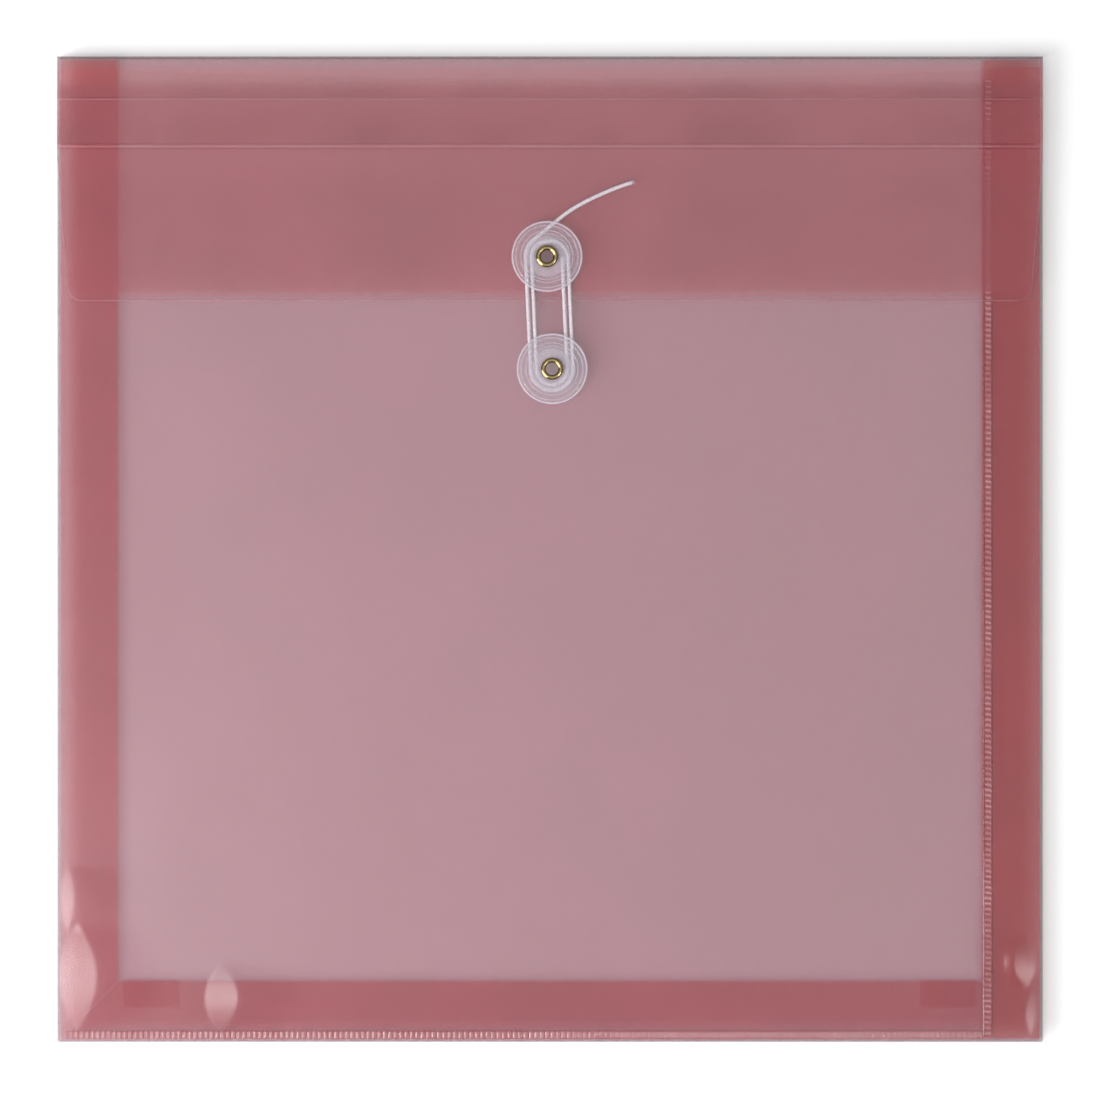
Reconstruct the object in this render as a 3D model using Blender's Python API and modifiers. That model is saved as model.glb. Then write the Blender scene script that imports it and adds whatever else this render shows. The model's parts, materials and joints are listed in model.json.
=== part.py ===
"""An expanding document case of frosted plastic sheet, closed by a string wound round two buttons.

It lies on its back: +X is to its right, +Y towards its folded top edge and +Z out of its front.
The origin is under the middle of the back panel. Lengths are in metres.
Run with: blender --background --python part.py
"""

import math

import bmesh
import bpy
from mathutils import Matrix, Vector

MM = 0.001

# Overall size, for paper twelve inches square
CASE_WIDTH = 330 * MM
CASE_HEIGHT = 330 * MM
CORNER_RADIUS = 1.5 * MM

# Sheet stock and the room between sheets that lie on each other
SHEET = 0.5 * MM
CLEARANCE = 0.3 * MM
POCKET_DEPTH = 5.3 * MM

# Gusset: two webs on each of three sides, creased inwards
GUSSET_DEPTH = 21 * MM
WEB_INSET = 0.5 * MM
MITRE_GAP = 0.4 * MM

# Mouth of the pocket: the front panel's top edge dips in the middle
MOUTH_SET_BACK = 3.6 * MM
MOUTH_DIP = 3.9 * MM

# Score lines and the flap, as distances down from the folded top edge
CREASE_ONE_DROP = 14.4 * MM
CREASE_TWO_DROP = 30.1 * MM
FLAP_EDGE_DROP = 81.7 * MM
FLAP_TAPER = 4.3 * MM
FLAP_CORNER = 4 * MM

# The strip turned over from the right gusset, and the two welds
STRIP_WIDTH = 20.1 * MM
RIGHT_WELD_WIDTH = 3.0 * MM
BOTTOM_WELD_WIDTH = 2.7 * MM
BOTTOM_WELD_INSET = 1.2 * MM
BOTTOM_WELD_START = 3.0 * MM

# Corner tucks: the ends of the side webs, folded in behind the bottom web
TUCK_LENGTH = 20 * MM
TUCK_DROP = 10 * MM

# Buttons: a clear disc with a boss, held by a brass eyelet, one on each side of the flap's lower edge
UPPER_BUTTON_X = -1.0 * MM
UPPER_BUTTON_ABOVE_EDGE = 14.6 * MM
LOWER_BUTTON_X = 0.7 * MM
LOWER_BUTTON_BELOW_EDGE = 22.9 * MM
DISC_RADIUS = 12 * MM
DISC_THICKNESS = 0.8 * MM
BOSS_WALL = 1.3 * MM
RIDGE_HEIGHT = 0.2 * MM
OUTER_RIDGE_INSET = 1.6 * MM
OUTER_RIDGE_WIDTH = 0.5 * MM
INNER_RIDGE_INSET = 3.8 * MM
INNER_RIDGE_WIDTH = 1.0 * MM
EYELET_BORE_RADIUS = 2.1 * MM
EYELET_WALL = 0.4 * MM
EYELET_LIP = 1.2 * MM
EYELET_FLANGE_HEIGHT = 0.5 * MM
EYELET_ROLL_THICKNESS = 0.3 * MM

# String
STRING_DIAMETER = 1.4 * MM
TURN_GAP = 0.6 * MM
STRING_TURNS = 2
TAIL_LEAVES_DEG = 129
# The loose tail lying on the flap, in millimetres from the middle of the upper button
TAIL_ROUTE = [(2.6, 11.4), (7.5, 15.2), (13.1, 18.5), (19.3, 21.4), (24.2, 23.4), (28.5, 24.8)]

# How finely curved shapes are drawn
MOUTH_STEPS = 24
CORNER_STEPS = 5
FLAP_CORNER_STEPS = 8
HOLE_STEPS = 24
DOME_STEPS = 8
TURNED_STEPS = 48
POINTS_PER_HALF_TURN = 9
POINTS_PER_STRAND = 5
MERGE_DISTANCE = 0.01 * MM

# Finishes, each a colour, a roughness and a metallic value
FILM = ((0.40, 0.10, 0.12), 0.35, 0.0)
WELDED_FILM = ((0.55, 0.22, 0.24), 0.5, 0.0)
CLEAR_PLASTIC = ((0.80, 0.72, 0.75), 0.1, 0.0)
BRASS = ((0.72, 0.55, 0.26), 0.3, 1.0)
COTTON = ((0.85, 0.80, 0.81), 0.9, 0.0)

# Levels, each the underside of its piece
HALF_WIDTH = CASE_WIDTH / 2
HALF_HEIGHT = CASE_HEIGHT / 2
BACK_LEVEL = 0.0
FRONT_LEVEL = BACK_LEVEL + SHEET + POCKET_DEPTH
STRIP_LEVEL = FRONT_LEVEL + SHEET + CLEARANCE
FLAP_LEVEL = STRIP_LEVEL + max(SHEET, EYELET_ROLL_THICKNESS) + CLEARANCE
FRONT_TOP = FRONT_LEVEL + SHEET
FLAP_TOP = FLAP_LEVEL + SHEET

# The top wall stands between the back panel and the flap's level, hinged in the middle of the sheet
HINGE_INSET = SHEET / 2
WALL_HINGE_Y = HALF_HEIGHT - HINGE_INSET
WALL_HINGE_Z = BACK_LEVEL + HINGE_INSET
WALL_FOOT = HINGE_INSET + CLEARANCE
WALL_HEAD = FLAP_LEVEL - CLEARANCE - WALL_HINGE_Z
CREASE_ONE_Y = HALF_HEIGHT - CREASE_ONE_DROP
CREASE_TWO_Y = HALF_HEIGHT - CREASE_TWO_DROP
FLAP_EDGE_Y = HALF_HEIGHT - FLAP_EDGE_DROP
MOUTH_Y = HALF_HEIGHT - MOUTH_SET_BACK

# Each web rises from just clear of its panel to just short of the other web
WEB_RUN = GUSSET_DEPTH - WEB_INSET
WEB_RISE = (POCKET_DEPTH - 2 * SHEET - 3 * CLEARANCE) / 2
WEB_TILT = math.atan2(WEB_RISE, WEB_RUN)

# Button fits
UPPER_BUTTON_Y = FLAP_EDGE_Y + UPPER_BUTTON_ABOVE_EDGE
LOWER_BUTTON_Y = FLAP_EDGE_Y - LOWER_BUTTON_BELOW_EDGE
EYELET_OUTER_RADIUS = EYELET_BORE_RADIUS + EYELET_WALL
EYELET_FLANGE_RADIUS = EYELET_OUTER_RADIUS + EYELET_LIP
BUTTON_BORE_RADIUS = EYELET_OUTER_RADIUS + CLEARANCE
BOSS_RADIUS = BUTTON_BORE_RADIUS + BOSS_WALL
STRING_ROOM = STRING_DIAMETER + 2 * CLEARANCE
STRING_LIFT = STRING_ROOM / 2
TURN_PITCH = STRING_DIAMETER + TURN_GAP
INNER_TURN_RADIUS = BOSS_RADIUS + CLEARANCE + STRING_DIAMETER / 2


def new_collection(name):
    collection = bpy.data.collections.new(name)
    bpy.context.scene.collection.children.link(collection)
    return collection


def hinge_line(name, y, z, parent, collection):
    """An empty on a line that runs across the case, for the pieces that turn about that line."""
    empty = bpy.data.objects.new(name, None)
    empty.location = (0.0, y, z)
    collection.objects.link(empty)
    if parent:
        hang([empty], parent)
    return empty


def hang(pieces, hinge):
    """Makes pieces turn with a hinge's empty, while they stay where they are."""
    for piece in pieces:
        piece.parent = hinge
        piece.matrix_parent_inverse = Matrix.Translation(hinge.location).inverted()


def place(obj, collection, finish):
    """Gives an object a Principled material of its own and puts it in the part's collection."""
    colour, roughness, metallic = finish
    material = bpy.data.materials.new(obj.name + "_finish")
    material.use_nodes = True
    shader = material.node_tree.nodes["Principled BSDF"]
    shader.inputs["Base Color"].default_value = (*colour, 1.0)
    shader.inputs["Roughness"].default_value = roughness
    shader.inputs["Metallic"].default_value = metallic
    material.diffuse_color = (*colour, 1.0)
    obj.data.materials.append(material)
    collection.objects.link(obj)
    return obj


def arc_points(centre, radius, start_deg, end_deg, steps):
    """Points along a circle's arc, ends included."""
    points = []
    for i in range(steps + 1):
        angle = math.radians(start_deg + (end_deg - start_deg) * i / steps)
        points.append((centre[0] + radius * math.cos(angle), centre[1] + radius * math.sin(angle)))
    return points


def flat_piece(name, outlines, thickness):
    """A flat piece from closed outlines, of which the first is its edge and the others are holes."""
    curve = bpy.data.curves.new(name, "CURVE")
    curve.dimensions = "2D"
    curve.fill_mode = "BOTH"
    curve.extrude = thickness / 2
    for outline in outlines:
        spline = curve.splines.new("POLY")
        spline.points.add(len(outline) - 1)
        for point, (x, y) in zip(spline.points, outline):
            point.co = (x, y, 0.0, 1.0)
        spline.use_cyclic_u = True
    return bpy.data.objects.new(name, curve)


def panel_outline(top_y):
    """The case's outline up to top_y, with its two bottom corners rounded."""
    x = HALF_WIDTH - CORNER_RADIUS
    y = -HALF_HEIGHT + CORNER_RADIUS
    left = arc_points((-x, y), CORNER_RADIUS, 180, 270, CORNER_STEPS)
    right = arc_points((x, y), CORNER_RADIUS, 270, 360, CORNER_STEPS)
    return left + right + [(HALF_WIDTH, top_y), (-HALF_WIDTH, top_y)]


def hole_outline(x, y):
    """The round hole that a button's eyelet passes through."""
    return arc_points((x, y), BUTTON_BORE_RADIUS, 0, 360, HOLE_STEPS)[:-1]


def back_panel(collection):
    obj = flat_piece("back_panel", [panel_outline(HALF_HEIGHT)], SHEET)
    obj.location.z = BACK_LEVEL + SHEET / 2
    return place(obj, collection, FILM)


def front_panel(collection):
    """The front panel, whose top edge is a shallow dip across the whole mouth."""
    outline = panel_outline(MOUTH_Y)[:-2]
    for i in range(MOUTH_STEPS + 1):
        across = 1 - 2 * i / MOUTH_STEPS
        dip = MOUTH_DIP * (1 - across**2)
        outline.append((HALF_WIDTH * across, MOUTH_Y - dip))
    obj = flat_piece("front_panel", [outline, hole_outline(LOWER_BUTTON_X, LOWER_BUTTON_Y)], SHEET)
    obj.location.z = FRONT_LEVEL + SHEET / 2
    return place(obj, collection, FILM)


def gusset_web(name, side, front, collection):
    """One web of the gusset: a long trapezium whose outer edge lies along the case's side.

    Its object stands on that edge, where the web is creased to its panel, and is tilted about it.
    In its own plane x runs from the edge to the inner crease and y along the case.
    """
    slope = WEB_RUN / math.cos(WEB_TILT)
    if side == "bottom":
        start = -HALF_WIDTH + WEB_INSET + MITRE_GAP
        end = -start
        end_slant = -WEB_RUN
    else:
        start = -HALF_HEIGHT + WEB_INSET + MITRE_GAP
        end = MOUTH_Y
        end_slant = 0.0
    outline = [(0.0, start), (slope, start + WEB_RUN), (slope, end + end_slant), (0.0, end)]
    if side == "right" or side == "bottom":
        outline = [(x, -y) for x, y in outline]
    obj = flat_piece(name, [outline], SHEET)
    tilt = WEB_TILT if front else -WEB_TILT
    turn = {"left": 0.0, "right": math.pi, "bottom": math.pi / 2}[side]
    obj.rotation_mode = "XYZ"
    obj.rotation_euler = (0.0, tilt, turn)
    if front:
        z = FRONT_LEVEL - CLEARANCE - SHEET / 2
    else:
        z = BACK_LEVEL + SHEET + CLEARANCE + SHEET / 2
    reach = HALF_WIDTH - WEB_INSET
    obj.location = {
        "left": (-reach, 0.0, z),
        "right": (reach, 0.0, z),
        "bottom": (0.0, -HALF_HEIGHT + WEB_INSET, z),
    }[side]
    return place(obj, collection, FILM)


def corner_tuck(name, sign, collection):
    """The folded end of a side web, lying on the back panel behind the bottom web."""
    outer = HALF_WIDTH - GUSSET_DEPTH - CLEARANCE
    inner = outer - TUCK_LENGTH
    top = -HALF_HEIGHT + GUSSET_DEPTH - CLEARANCE
    bottom = top - TUCK_DROP
    outline = [(sign * inner, bottom), (sign * outer, bottom), (sign * outer, top), (sign * inner, top)]
    obj = flat_piece(name, [outline], SHEET)
    obj.location.z = BACK_LEVEL + SHEET + CLEARANCE + SHEET / 2
    return place(obj, collection, FILM)


def strip_outline(high, low):
    """A strip as wide as the case, between two heights in its own plane."""
    return [(-HALF_WIDTH, low), (HALF_WIDTH, low), (HALF_WIDTH, high), (-HALF_WIDTH, high)]


def top_wall(collection):
    """The narrow wall along the top edge, from the back panel's score line to the flap's."""
    obj = flat_piece("top_wall", [strip_outline(WALL_HEAD, WALL_FOOT)], SHEET)
    obj.rotation_mode = "XYZ"
    obj.rotation_euler.x = math.pi / 2
    obj.location = (0.0, WALL_HINGE_Y, WALL_HINGE_Z)
    return place(obj, collection, FILM)


def spine_strip(name, hinge_y, head, foot, collection):
    """A strip of the flap between two score lines, with its origin on the upper one.

    Its ends are at the distances head and foot from that line.
    """
    obj = flat_piece(name, [strip_outline(head, foot)], SHEET)
    obj.location = (0.0, hinge_y, FLAP_LEVEL + SHEET / 2)
    return place(obj, collection, FILM)


def closing_flap(collection):
    """The flap below the second score line, drawn in towards its rounded lower corners."""
    bottom = FLAP_EDGE_Y - CREASE_TWO_Y
    low = HALF_WIDTH - FLAP_TAPER
    outline = [(HALF_WIDTH, -CLEARANCE / 2), (-HALF_WIDTH, -CLEARANCE / 2)]
    x = low - FLAP_CORNER
    y = bottom + FLAP_CORNER
    outline += arc_points((-x, y), FLAP_CORNER, 180, 270, FLAP_CORNER_STEPS)
    outline += arc_points((x, y), FLAP_CORNER, 270, 360, FLAP_CORNER_STEPS)
    hole = hole_outline(UPPER_BUTTON_X, UPPER_BUTTON_Y - CREASE_TWO_Y)
    obj = flat_piece("closing_flap", [outline, hole], SHEET)
    obj.location = (0.0, CREASE_TWO_Y, FLAP_LEVEL + SHEET / 2)
    return place(obj, collection, FILM)


def turned_strip(collection):
    """The margin of the right gusset, turned over onto the front panel, less the welded edge."""
    left = HALF_WIDTH - STRIP_WIDTH + RIGHT_WELD_WIDTH + CLEARANCE
    outline = [(left, -HALF_HEIGHT + CORNER_RADIUS), (HALF_WIDTH, -HALF_HEIGHT + CORNER_RADIUS)]
    outline += [(HALF_WIDTH, MOUTH_Y), (left, MOUTH_Y)]
    obj = flat_piece("turned_strip", [outline], SHEET)
    obj.location.z = STRIP_LEVEL + SHEET / 2
    return place(obj, collection, FILM)


def weld_seam(name, low, high, collection):
    """A straight weld from the corner low to the corner high, standing as thick as one sheet."""
    outline = [(low[0], low[1]), (high[0], low[1]), (high[0], high[1]), (low[0], high[1])]
    obj = flat_piece(name, [outline], SHEET)
    obj.location.z = STRIP_LEVEL + SHEET / 2
    return place(obj, collection, WELDED_FILM)


def turned_piece(name, profile):
    """A solid of revolution about Z from a closed profile of (radius, height), down its outer side."""
    mesh = bpy.data.meshes.new(name)
    shape = bmesh.new()
    corners = [shape.verts.new((radius, 0.0, height)) for radius, height in profile]
    for i, corner in enumerate(corners):
        shape.edges.new((corner, corners[(i + 1) % len(corners)]))
    shape.to_mesh(mesh)
    shape.free()
    obj = bpy.data.objects.new(name, mesh)
    screw = obj.modifiers.new("turning", "SCREW")
    screw.axis = "Z"
    screw.steps = TURNED_STEPS
    screw.render_steps = TURNED_STEPS
    screw.use_merge_vertices = True
    screw.merge_threshold = MERGE_DISTANCE
    screw.use_smooth_shade = True
    return obj


def button_disc(name, x, y, level, collection):
    """A clear disc with two low ridges, standing on a boss that leaves room for the string."""
    under = STRING_ROOM
    top = under + DISC_THICKNESS
    edge = DISC_THICKNESS / 4
    bore = BUTTON_BORE_RADIUS
    profile = [(bore, top)]
    for inset, width in ((INNER_RIDGE_INSET, INNER_RIDGE_WIDTH), (OUTER_RIDGE_INSET, OUTER_RIDGE_WIDTH)):
        inner = DISC_RADIUS - inset - width / 2
        outer = inner + width
        profile.append((inner - RIDGE_HEIGHT, top))
        profile.append((inner, top + RIDGE_HEIGHT))
        profile.append((outer, top + RIDGE_HEIGHT))
        profile.append((outer + RIDGE_HEIGHT, top))
    profile += [
        (DISC_RADIUS - edge, top),
        (DISC_RADIUS, top - edge),
        (DISC_RADIUS, under + edge),
        (DISC_RADIUS - edge, under),
        (BOSS_RADIUS, under),
        (BOSS_RADIUS, CLEARANCE),
        (bore, CLEARANCE),
    ]
    obj = turned_piece(name, profile)
    obj.location = (x, y, level)
    return place(obj, collection, CLEAR_PLASTIC)


def eyelet(name, x, y, level, collection):
    """A brass eyelet: a domed flange on the disc, a barrel through it, and a roll behind the sheet."""
    seat = STRING_ROOM + DISC_THICKNESS + CLEARANCE
    roll_top = -SHEET - CLEARANCE
    roll_bottom = roll_top - EYELET_ROLL_THICKNESS
    middle = (EYELET_BORE_RADIUS + EYELET_FLANGE_RADIUS) / 2
    half = (EYELET_FLANGE_RADIUS - EYELET_BORE_RADIUS) / 2
    profile = []
    for i in range(DOME_STEPS + 1):
        angle = math.pi * (1 - i / DOME_STEPS)
        profile.append((middle + half * math.cos(angle), seat + EYELET_FLANGE_HEIGHT * math.sin(angle)))
    profile += [
        (EYELET_OUTER_RADIUS, seat),
        (EYELET_OUTER_RADIUS, roll_top),
        (EYELET_FLANGE_RADIUS - EYELET_ROLL_THICKNESS, roll_top),
        (EYELET_FLANGE_RADIUS, (roll_top + roll_bottom) / 2),
        (EYELET_FLANGE_RADIUS - EYELET_ROLL_THICKNESS, roll_bottom),
        (EYELET_BORE_RADIUS, roll_bottom),
    ]
    obj = turned_piece(name, profile)
    obj.location = (x, y, level)
    return place(obj, collection, BRASS)


def string_height(y):
    """The string's middle lies on the flap, then comes down past the flap's edge to the front panel."""
    upper = FLAP_TOP + STRING_LIFT
    lower = FRONT_TOP + STRING_LIFT
    disc_edge = LOWER_BUTTON_Y + DISC_RADIUS
    share = (y - disc_edge) / (FLAP_EDGE_Y - disc_edge)
    share = min(max(share, 0.0), 1.0)
    return lower + (upper - lower) * share * share * (3 - 2 * share)


def turn_points(centre, start_radius, end_radius, start_deg, end_deg):
    """Points clockwise round a boss. The radius holds for the first half and then grows evenly."""
    points = []
    for i in range(POINTS_PER_HALF_TURN):
        share = i / (POINTS_PER_HALF_TURN - 1)
        angle = math.radians(start_deg + (end_deg - start_deg) * share)
        radius = start_radius + (end_radius - start_radius) * max(2 * share - 1, 0.0)
        points.append((centre[0] + radius * math.cos(angle), centre[1] + radius * math.sin(angle)))
    return points


def winding_points():
    """The turns round the two buttons, from the string's end beside the upper boss: down the right strand,
    half a circle under the lower boss, up the left strand and over the upper boss to the next turn, one
    pitch further out. The last strand leaves the upper boss for the loose tail."""
    upper = (UPPER_BUTTON_X, UPPER_BUTTON_Y)
    lower = (LOWER_BUTTON_X, LOWER_BUTTON_Y)
    points = []
    for turn in range(STRING_TURNS):
        radius = INNER_TURN_RADIUS + turn * TURN_PITCH
        points += strand_points((upper[0] + radius, upper[1]), (lower[0] + radius, lower[1]))
        points += turn_points(lower, radius, radius, 0, -180)
        points += strand_points((lower[0] - radius, lower[1]), (upper[0] - radius, upper[1]))[1:]
        if turn < STRING_TURNS - 1:
            points += turn_points(upper, radius, radius + TURN_PITCH, 180, 0)[:-1]
    leaving = turn_points(upper, radius, radius, 180, TAIL_LEAVES_DEG)
    points += leaving[:: (POINTS_PER_HALF_TURN - 1) // 2]
    return [(x, y, string_height(y)) for x, y in points]


def strand_points(start, end):
    """The start of a straight strand and the points between its two ends."""
    points = []
    for i in range(POINTS_PER_STRAND):
        share = i / POINTS_PER_STRAND
        points.append((start[0] + (end[0] - start[0]) * share, start[1] + (end[1] - start[1]) * share))
    return points


def tail_points(leaving):
    """The loose tail, read from a smooth curve through its route's points and the turn it comes from."""
    height = string_height(UPPER_BUTTON_Y)
    knots = [Vector(point) for point in leaving]
    for x, y in TAIL_ROUTE:
        knots.append(Vector((UPPER_BUTTON_X + x * MM, UPPER_BUTTON_Y + y * MM, height)))
    points = []
    for i in range(1, len(knots) - 1):
        after = knots[min(i + 2, len(knots) - 1)]
        for step in range(2):
            points.append(smooth_between(knots[i - 1], knots[i], knots[i + 1], after, step / 2))
    points.append(knots[-1])
    return [tuple(point) for point in points[1:]]


def smooth_between(before, start, end, after, share):
    """A point on the smooth curve from start to end, whose slopes come from their neighbours."""
    slope_in = (end - before) / 2
    slope_out = (after - start) / 2
    s2 = share * share
    s3 = s2 * share
    return (
        start * (2 * s3 - 3 * s2 + 1)
        + slope_in * (s3 - 2 * s2 + share)
        + end * (3 * s2 - 2 * s3)
        + slope_out * (s3 - s2)
    )


def string_route():
    """All points of the string, from its end under the upper disc to its loose tip."""
    winding = winding_points()
    return winding + tail_points(winding[-2:])


def least_self_gap(points):
    """The least distance between the surfaces of stretches that aren't neighbours along the string."""
    fine = []
    for start, end in zip(points, points[1:]):
        start, end = Vector(start), Vector(end)
        for i in range(4):
            fine.append(start.lerp(end, i / 4))
    lengths = [0.0]
    for start, end in zip(fine, fine[1:]):
        lengths.append(lengths[-1] + (end - start).length)
    least = 1.0
    for i, here in enumerate(fine):
        for j in range(i + 1, len(fine)):
            if lengths[j] - lengths[i] > 4 * STRING_DIAMETER:
                least = min(least, (fine[j] - here).length - STRING_DIAMETER)
    return least, lengths[-1]


def closing_string(collection):
    """The string as one unbroken tube."""
    points = string_route()
    curve = bpy.data.curves.new("closing_string", "CURVE")
    curve.dimensions = "3D"
    curve.bevel_depth = STRING_DIAMETER / 2
    curve.bevel_resolution = 1
    curve.use_fill_caps = True
    spline = curve.splines.new("POLY")
    spline.points.add(len(points) - 1)
    for point, (x, y, z) in zip(spline.points, points):
        point.co = (x, y, z, 1.0)
    obj = bpy.data.objects.new("closing_string", curve)
    gap, length = least_self_gap(points)
    print(f"closing_string: length {length / MM:.1f} mm, least gap to itself {gap / MM:.2f} mm")
    return place(obj, collection, COTTON)


def main():
    for obj in list(bpy.data.objects):
        bpy.data.objects.remove(obj)
    case = new_collection("document_case")

    back_panel(case)
    corner_tuck("left_corner_tuck", -1, case)
    corner_tuck("right_corner_tuck", 1, case)
    front_webs = []
    for side in ("left", "right", "bottom"):
        gusset_web(side + "_rear_web", side, False, case)
        front_webs.append(gusset_web(side + "_front_web", side, True, case))

    seam_left = HALF_WIDTH - STRIP_WIDTH
    seam_low = -HALF_HEIGHT + BOTTOM_WELD_INSET
    right_weld = weld_seam(
        "right_weld",
        (seam_left, -HALF_HEIGHT + CORNER_RADIUS),
        (seam_left + RIGHT_WELD_WIDTH, MOUTH_Y - MOUTH_DIP),
        case,
    )
    bottom_weld = weld_seam(
        "bottom_weld",
        (-HALF_WIDTH + BOTTOM_WELD_START, seam_low),
        (seam_left - CLEARANCE, seam_low + BOTTOM_WELD_WIDTH),
        case,
    )
    front_hinge = hinge_line("front_hinge", CREASE_ONE_Y, FLAP_TOP, None, case)
    hang(front_webs + [front_panel(case), turned_strip(case), right_weld, bottom_weld], front_hinge)
    hang(
        [
            button_disc("lower_button_disc", LOWER_BUTTON_X, LOWER_BUTTON_Y, FRONT_TOP, case),
            eyelet("lower_button_eyelet", LOWER_BUTTON_X, LOWER_BUTTON_Y, FRONT_TOP, case),
        ],
        front_hinge,
    )

    half_gap = CLEARANCE / 2
    upper_foot = CREASE_ONE_Y - WALL_HINGE_Y + half_gap
    lower_foot = CREASE_TWO_Y - CREASE_ONE_Y + half_gap
    wall_hinge = hinge_line("wall_hinge", WALL_HINGE_Y, WALL_HINGE_Z, None, case)
    flap_hinge = hinge_line("flap_hinge", WALL_HINGE_Y, FLAP_LEVEL + SHEET / 2, wall_hinge, case)
    crease_one = hinge_line("crease_one", CREASE_ONE_Y, FLAP_TOP, flap_hinge, case)
    crease_two = hinge_line("crease_two", CREASE_TWO_Y, FLAP_TOP, crease_one, case)
    hang([top_wall(case)], wall_hinge)
    hang([spine_strip("upper_spine_strip", WALL_HINGE_Y, HINGE_INSET, upper_foot, case)], flap_hinge)
    hang([spine_strip("lower_spine_strip", CREASE_ONE_Y, -half_gap, lower_foot, case)], crease_one)
    hang(
        [
            closing_flap(case),
            button_disc("upper_button_disc", UPPER_BUTTON_X, UPPER_BUTTON_Y, FLAP_TOP, case),
            eyelet("upper_button_eyelet", UPPER_BUTTON_X, UPPER_BUTTON_Y, FLAP_TOP, case),
            closing_string(case),
        ],
        crease_two,
    )


main()
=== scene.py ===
"""Looks of an expanding document case: frosted film, ribbed welds, clear buttons, eyelets and a string.

The file is laid out as a Blender add-on, with one operator for each group of pieces, and is run as a script.
"""

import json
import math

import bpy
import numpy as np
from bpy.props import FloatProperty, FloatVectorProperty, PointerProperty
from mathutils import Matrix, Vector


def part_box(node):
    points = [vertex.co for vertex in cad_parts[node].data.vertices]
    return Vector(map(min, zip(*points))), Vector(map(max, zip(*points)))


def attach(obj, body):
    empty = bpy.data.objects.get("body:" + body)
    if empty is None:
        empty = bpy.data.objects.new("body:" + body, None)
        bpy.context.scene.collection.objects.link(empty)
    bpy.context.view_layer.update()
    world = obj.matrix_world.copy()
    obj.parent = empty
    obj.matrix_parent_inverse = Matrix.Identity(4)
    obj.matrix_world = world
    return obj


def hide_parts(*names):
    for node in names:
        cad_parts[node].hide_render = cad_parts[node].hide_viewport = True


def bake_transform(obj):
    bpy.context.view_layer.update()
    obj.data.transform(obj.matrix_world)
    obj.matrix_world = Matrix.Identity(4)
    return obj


bl_info = {
    "name": "Document case",
    "version": (1, 0, 0),
    "blender": (4, 5, 0),
    "location": "3D View > Sidebar > Document case",
    "description": "Dresses the packed model of an expanding document case",
    "category": "Object",
}

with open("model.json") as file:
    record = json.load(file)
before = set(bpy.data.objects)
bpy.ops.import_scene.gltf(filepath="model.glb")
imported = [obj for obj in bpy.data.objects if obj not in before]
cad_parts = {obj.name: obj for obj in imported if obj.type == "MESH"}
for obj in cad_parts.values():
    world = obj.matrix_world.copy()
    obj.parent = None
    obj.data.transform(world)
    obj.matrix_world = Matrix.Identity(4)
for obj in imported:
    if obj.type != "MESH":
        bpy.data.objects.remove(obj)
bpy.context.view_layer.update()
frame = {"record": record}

MM = 0.001


def corner_points(node):
    """A node's lowest and highest corners at rest, as two arrays."""
    low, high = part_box(node)
    return np.array(low), np.array(high)


def button_foot(name):
    """The middle of a button, on the surface of its sheet."""
    low, high = corner_points(name + "_disc")
    return np.array([(low[0] + high[0]) / 2, (low[1] + high[1]) / 2, low[2]])


def joint_place(name):
    """The point that a joint turns about."""
    joints = {joint["name"]: joint for joint in frame["record"]["behaviour"]["joints"]}
    return np.array(joints[name]["pos_m"])


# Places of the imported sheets
BACK_LOW, BACK_HIGH = corner_points("back_panel")
FRONT_LOW, FRONT_HIGH = corner_points("front_panel")
STRIP_LOW, _ = corner_points("turned_strip")
FLAP_LOW, FLAP_HIGH = corner_points("closing_flap")
REAR_WEB_LOW, REAR_WEB_HIGH = corner_points("left_rear_web")
_, FRONT_WEB_HIGH = corner_points("left_front_web")
RIGHT_WELD_LOW, RIGHT_WELD_HIGH = corner_points("right_weld")
BOTTOM_WELD_LOW, BOTTOM_WELD_HIGH = corner_points("bottom_weld")
DISC_LOW, DISC_HIGH = corner_points("lower_button_disc")
UPPER_BUTTON = button_foot("upper_button")
LOWER_BUTTON = button_foot("lower_button")
WALL_HINGE = joint_place("top_wall_tilt")
FLAP_HINGE = joint_place("flap_open")
CREASE_ONE = joint_place("crease_one_bend")
CREASE_TWO = joint_place("crease_two_bend")

HALF_WIDTH = BACK_HIGH[0]
BOTTOM_Y = BACK_LOW[1]
TOP_Y = BACK_HIGH[1]
SHEET = BACK_HIGH[2] - BACK_LOW[2]
BACK_MIDDLE = BACK_LOW[2] + SHEET / 2
FRONT_MIDDLE = FRONT_LOW[2] + SHEET / 2
STRIP_MIDDLE = STRIP_LOW[2] + SHEET / 2
FLAP_MIDDLE = FLAP_LOW[2] + SHEET / 2
REAR_WEB_START = REAR_WEB_LOW[2] + SHEET / 2
FRONT_WEB_START = FRONT_WEB_HIGH[2] - SHEET / 2
MOUTH_Y = FRONT_HIGH[1]
MOUTH_DIP = MOUTH_Y - RIGHT_WELD_HIGH[1]
GUSSET_DEPTH = REAR_WEB_HIGH[0] + HALF_WIDTH
DISC_RADIUS = (DISC_HIGH[0] - DISC_LOW[0]) / 2

# Real sizes that the boxes don't give
CORNER_RADIUS = 1.5 * MM
FLAP_TAPER = 4.3 * MM
FLAP_CORNER = 4.0 * MM
FOLD_RADIUS = 0.6 * MM
CUT_EDGE_RADIUS = 0.22 * MM
MITRE_SET_BACK = 0.05 * MM
CREASE_ONE_WIDTH = 1.0 * MM
CREASE_TWO_WIDTH = 1.6 * MM
# Inside radius of a gusset's inner crease, and how far a gusset ends below the top wall
CREASE_GAP = 0.15 * MM
GUSSET_TOP_GAP = 0.4 * MM
WELD_PITCH = 1.81 * MM
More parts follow.
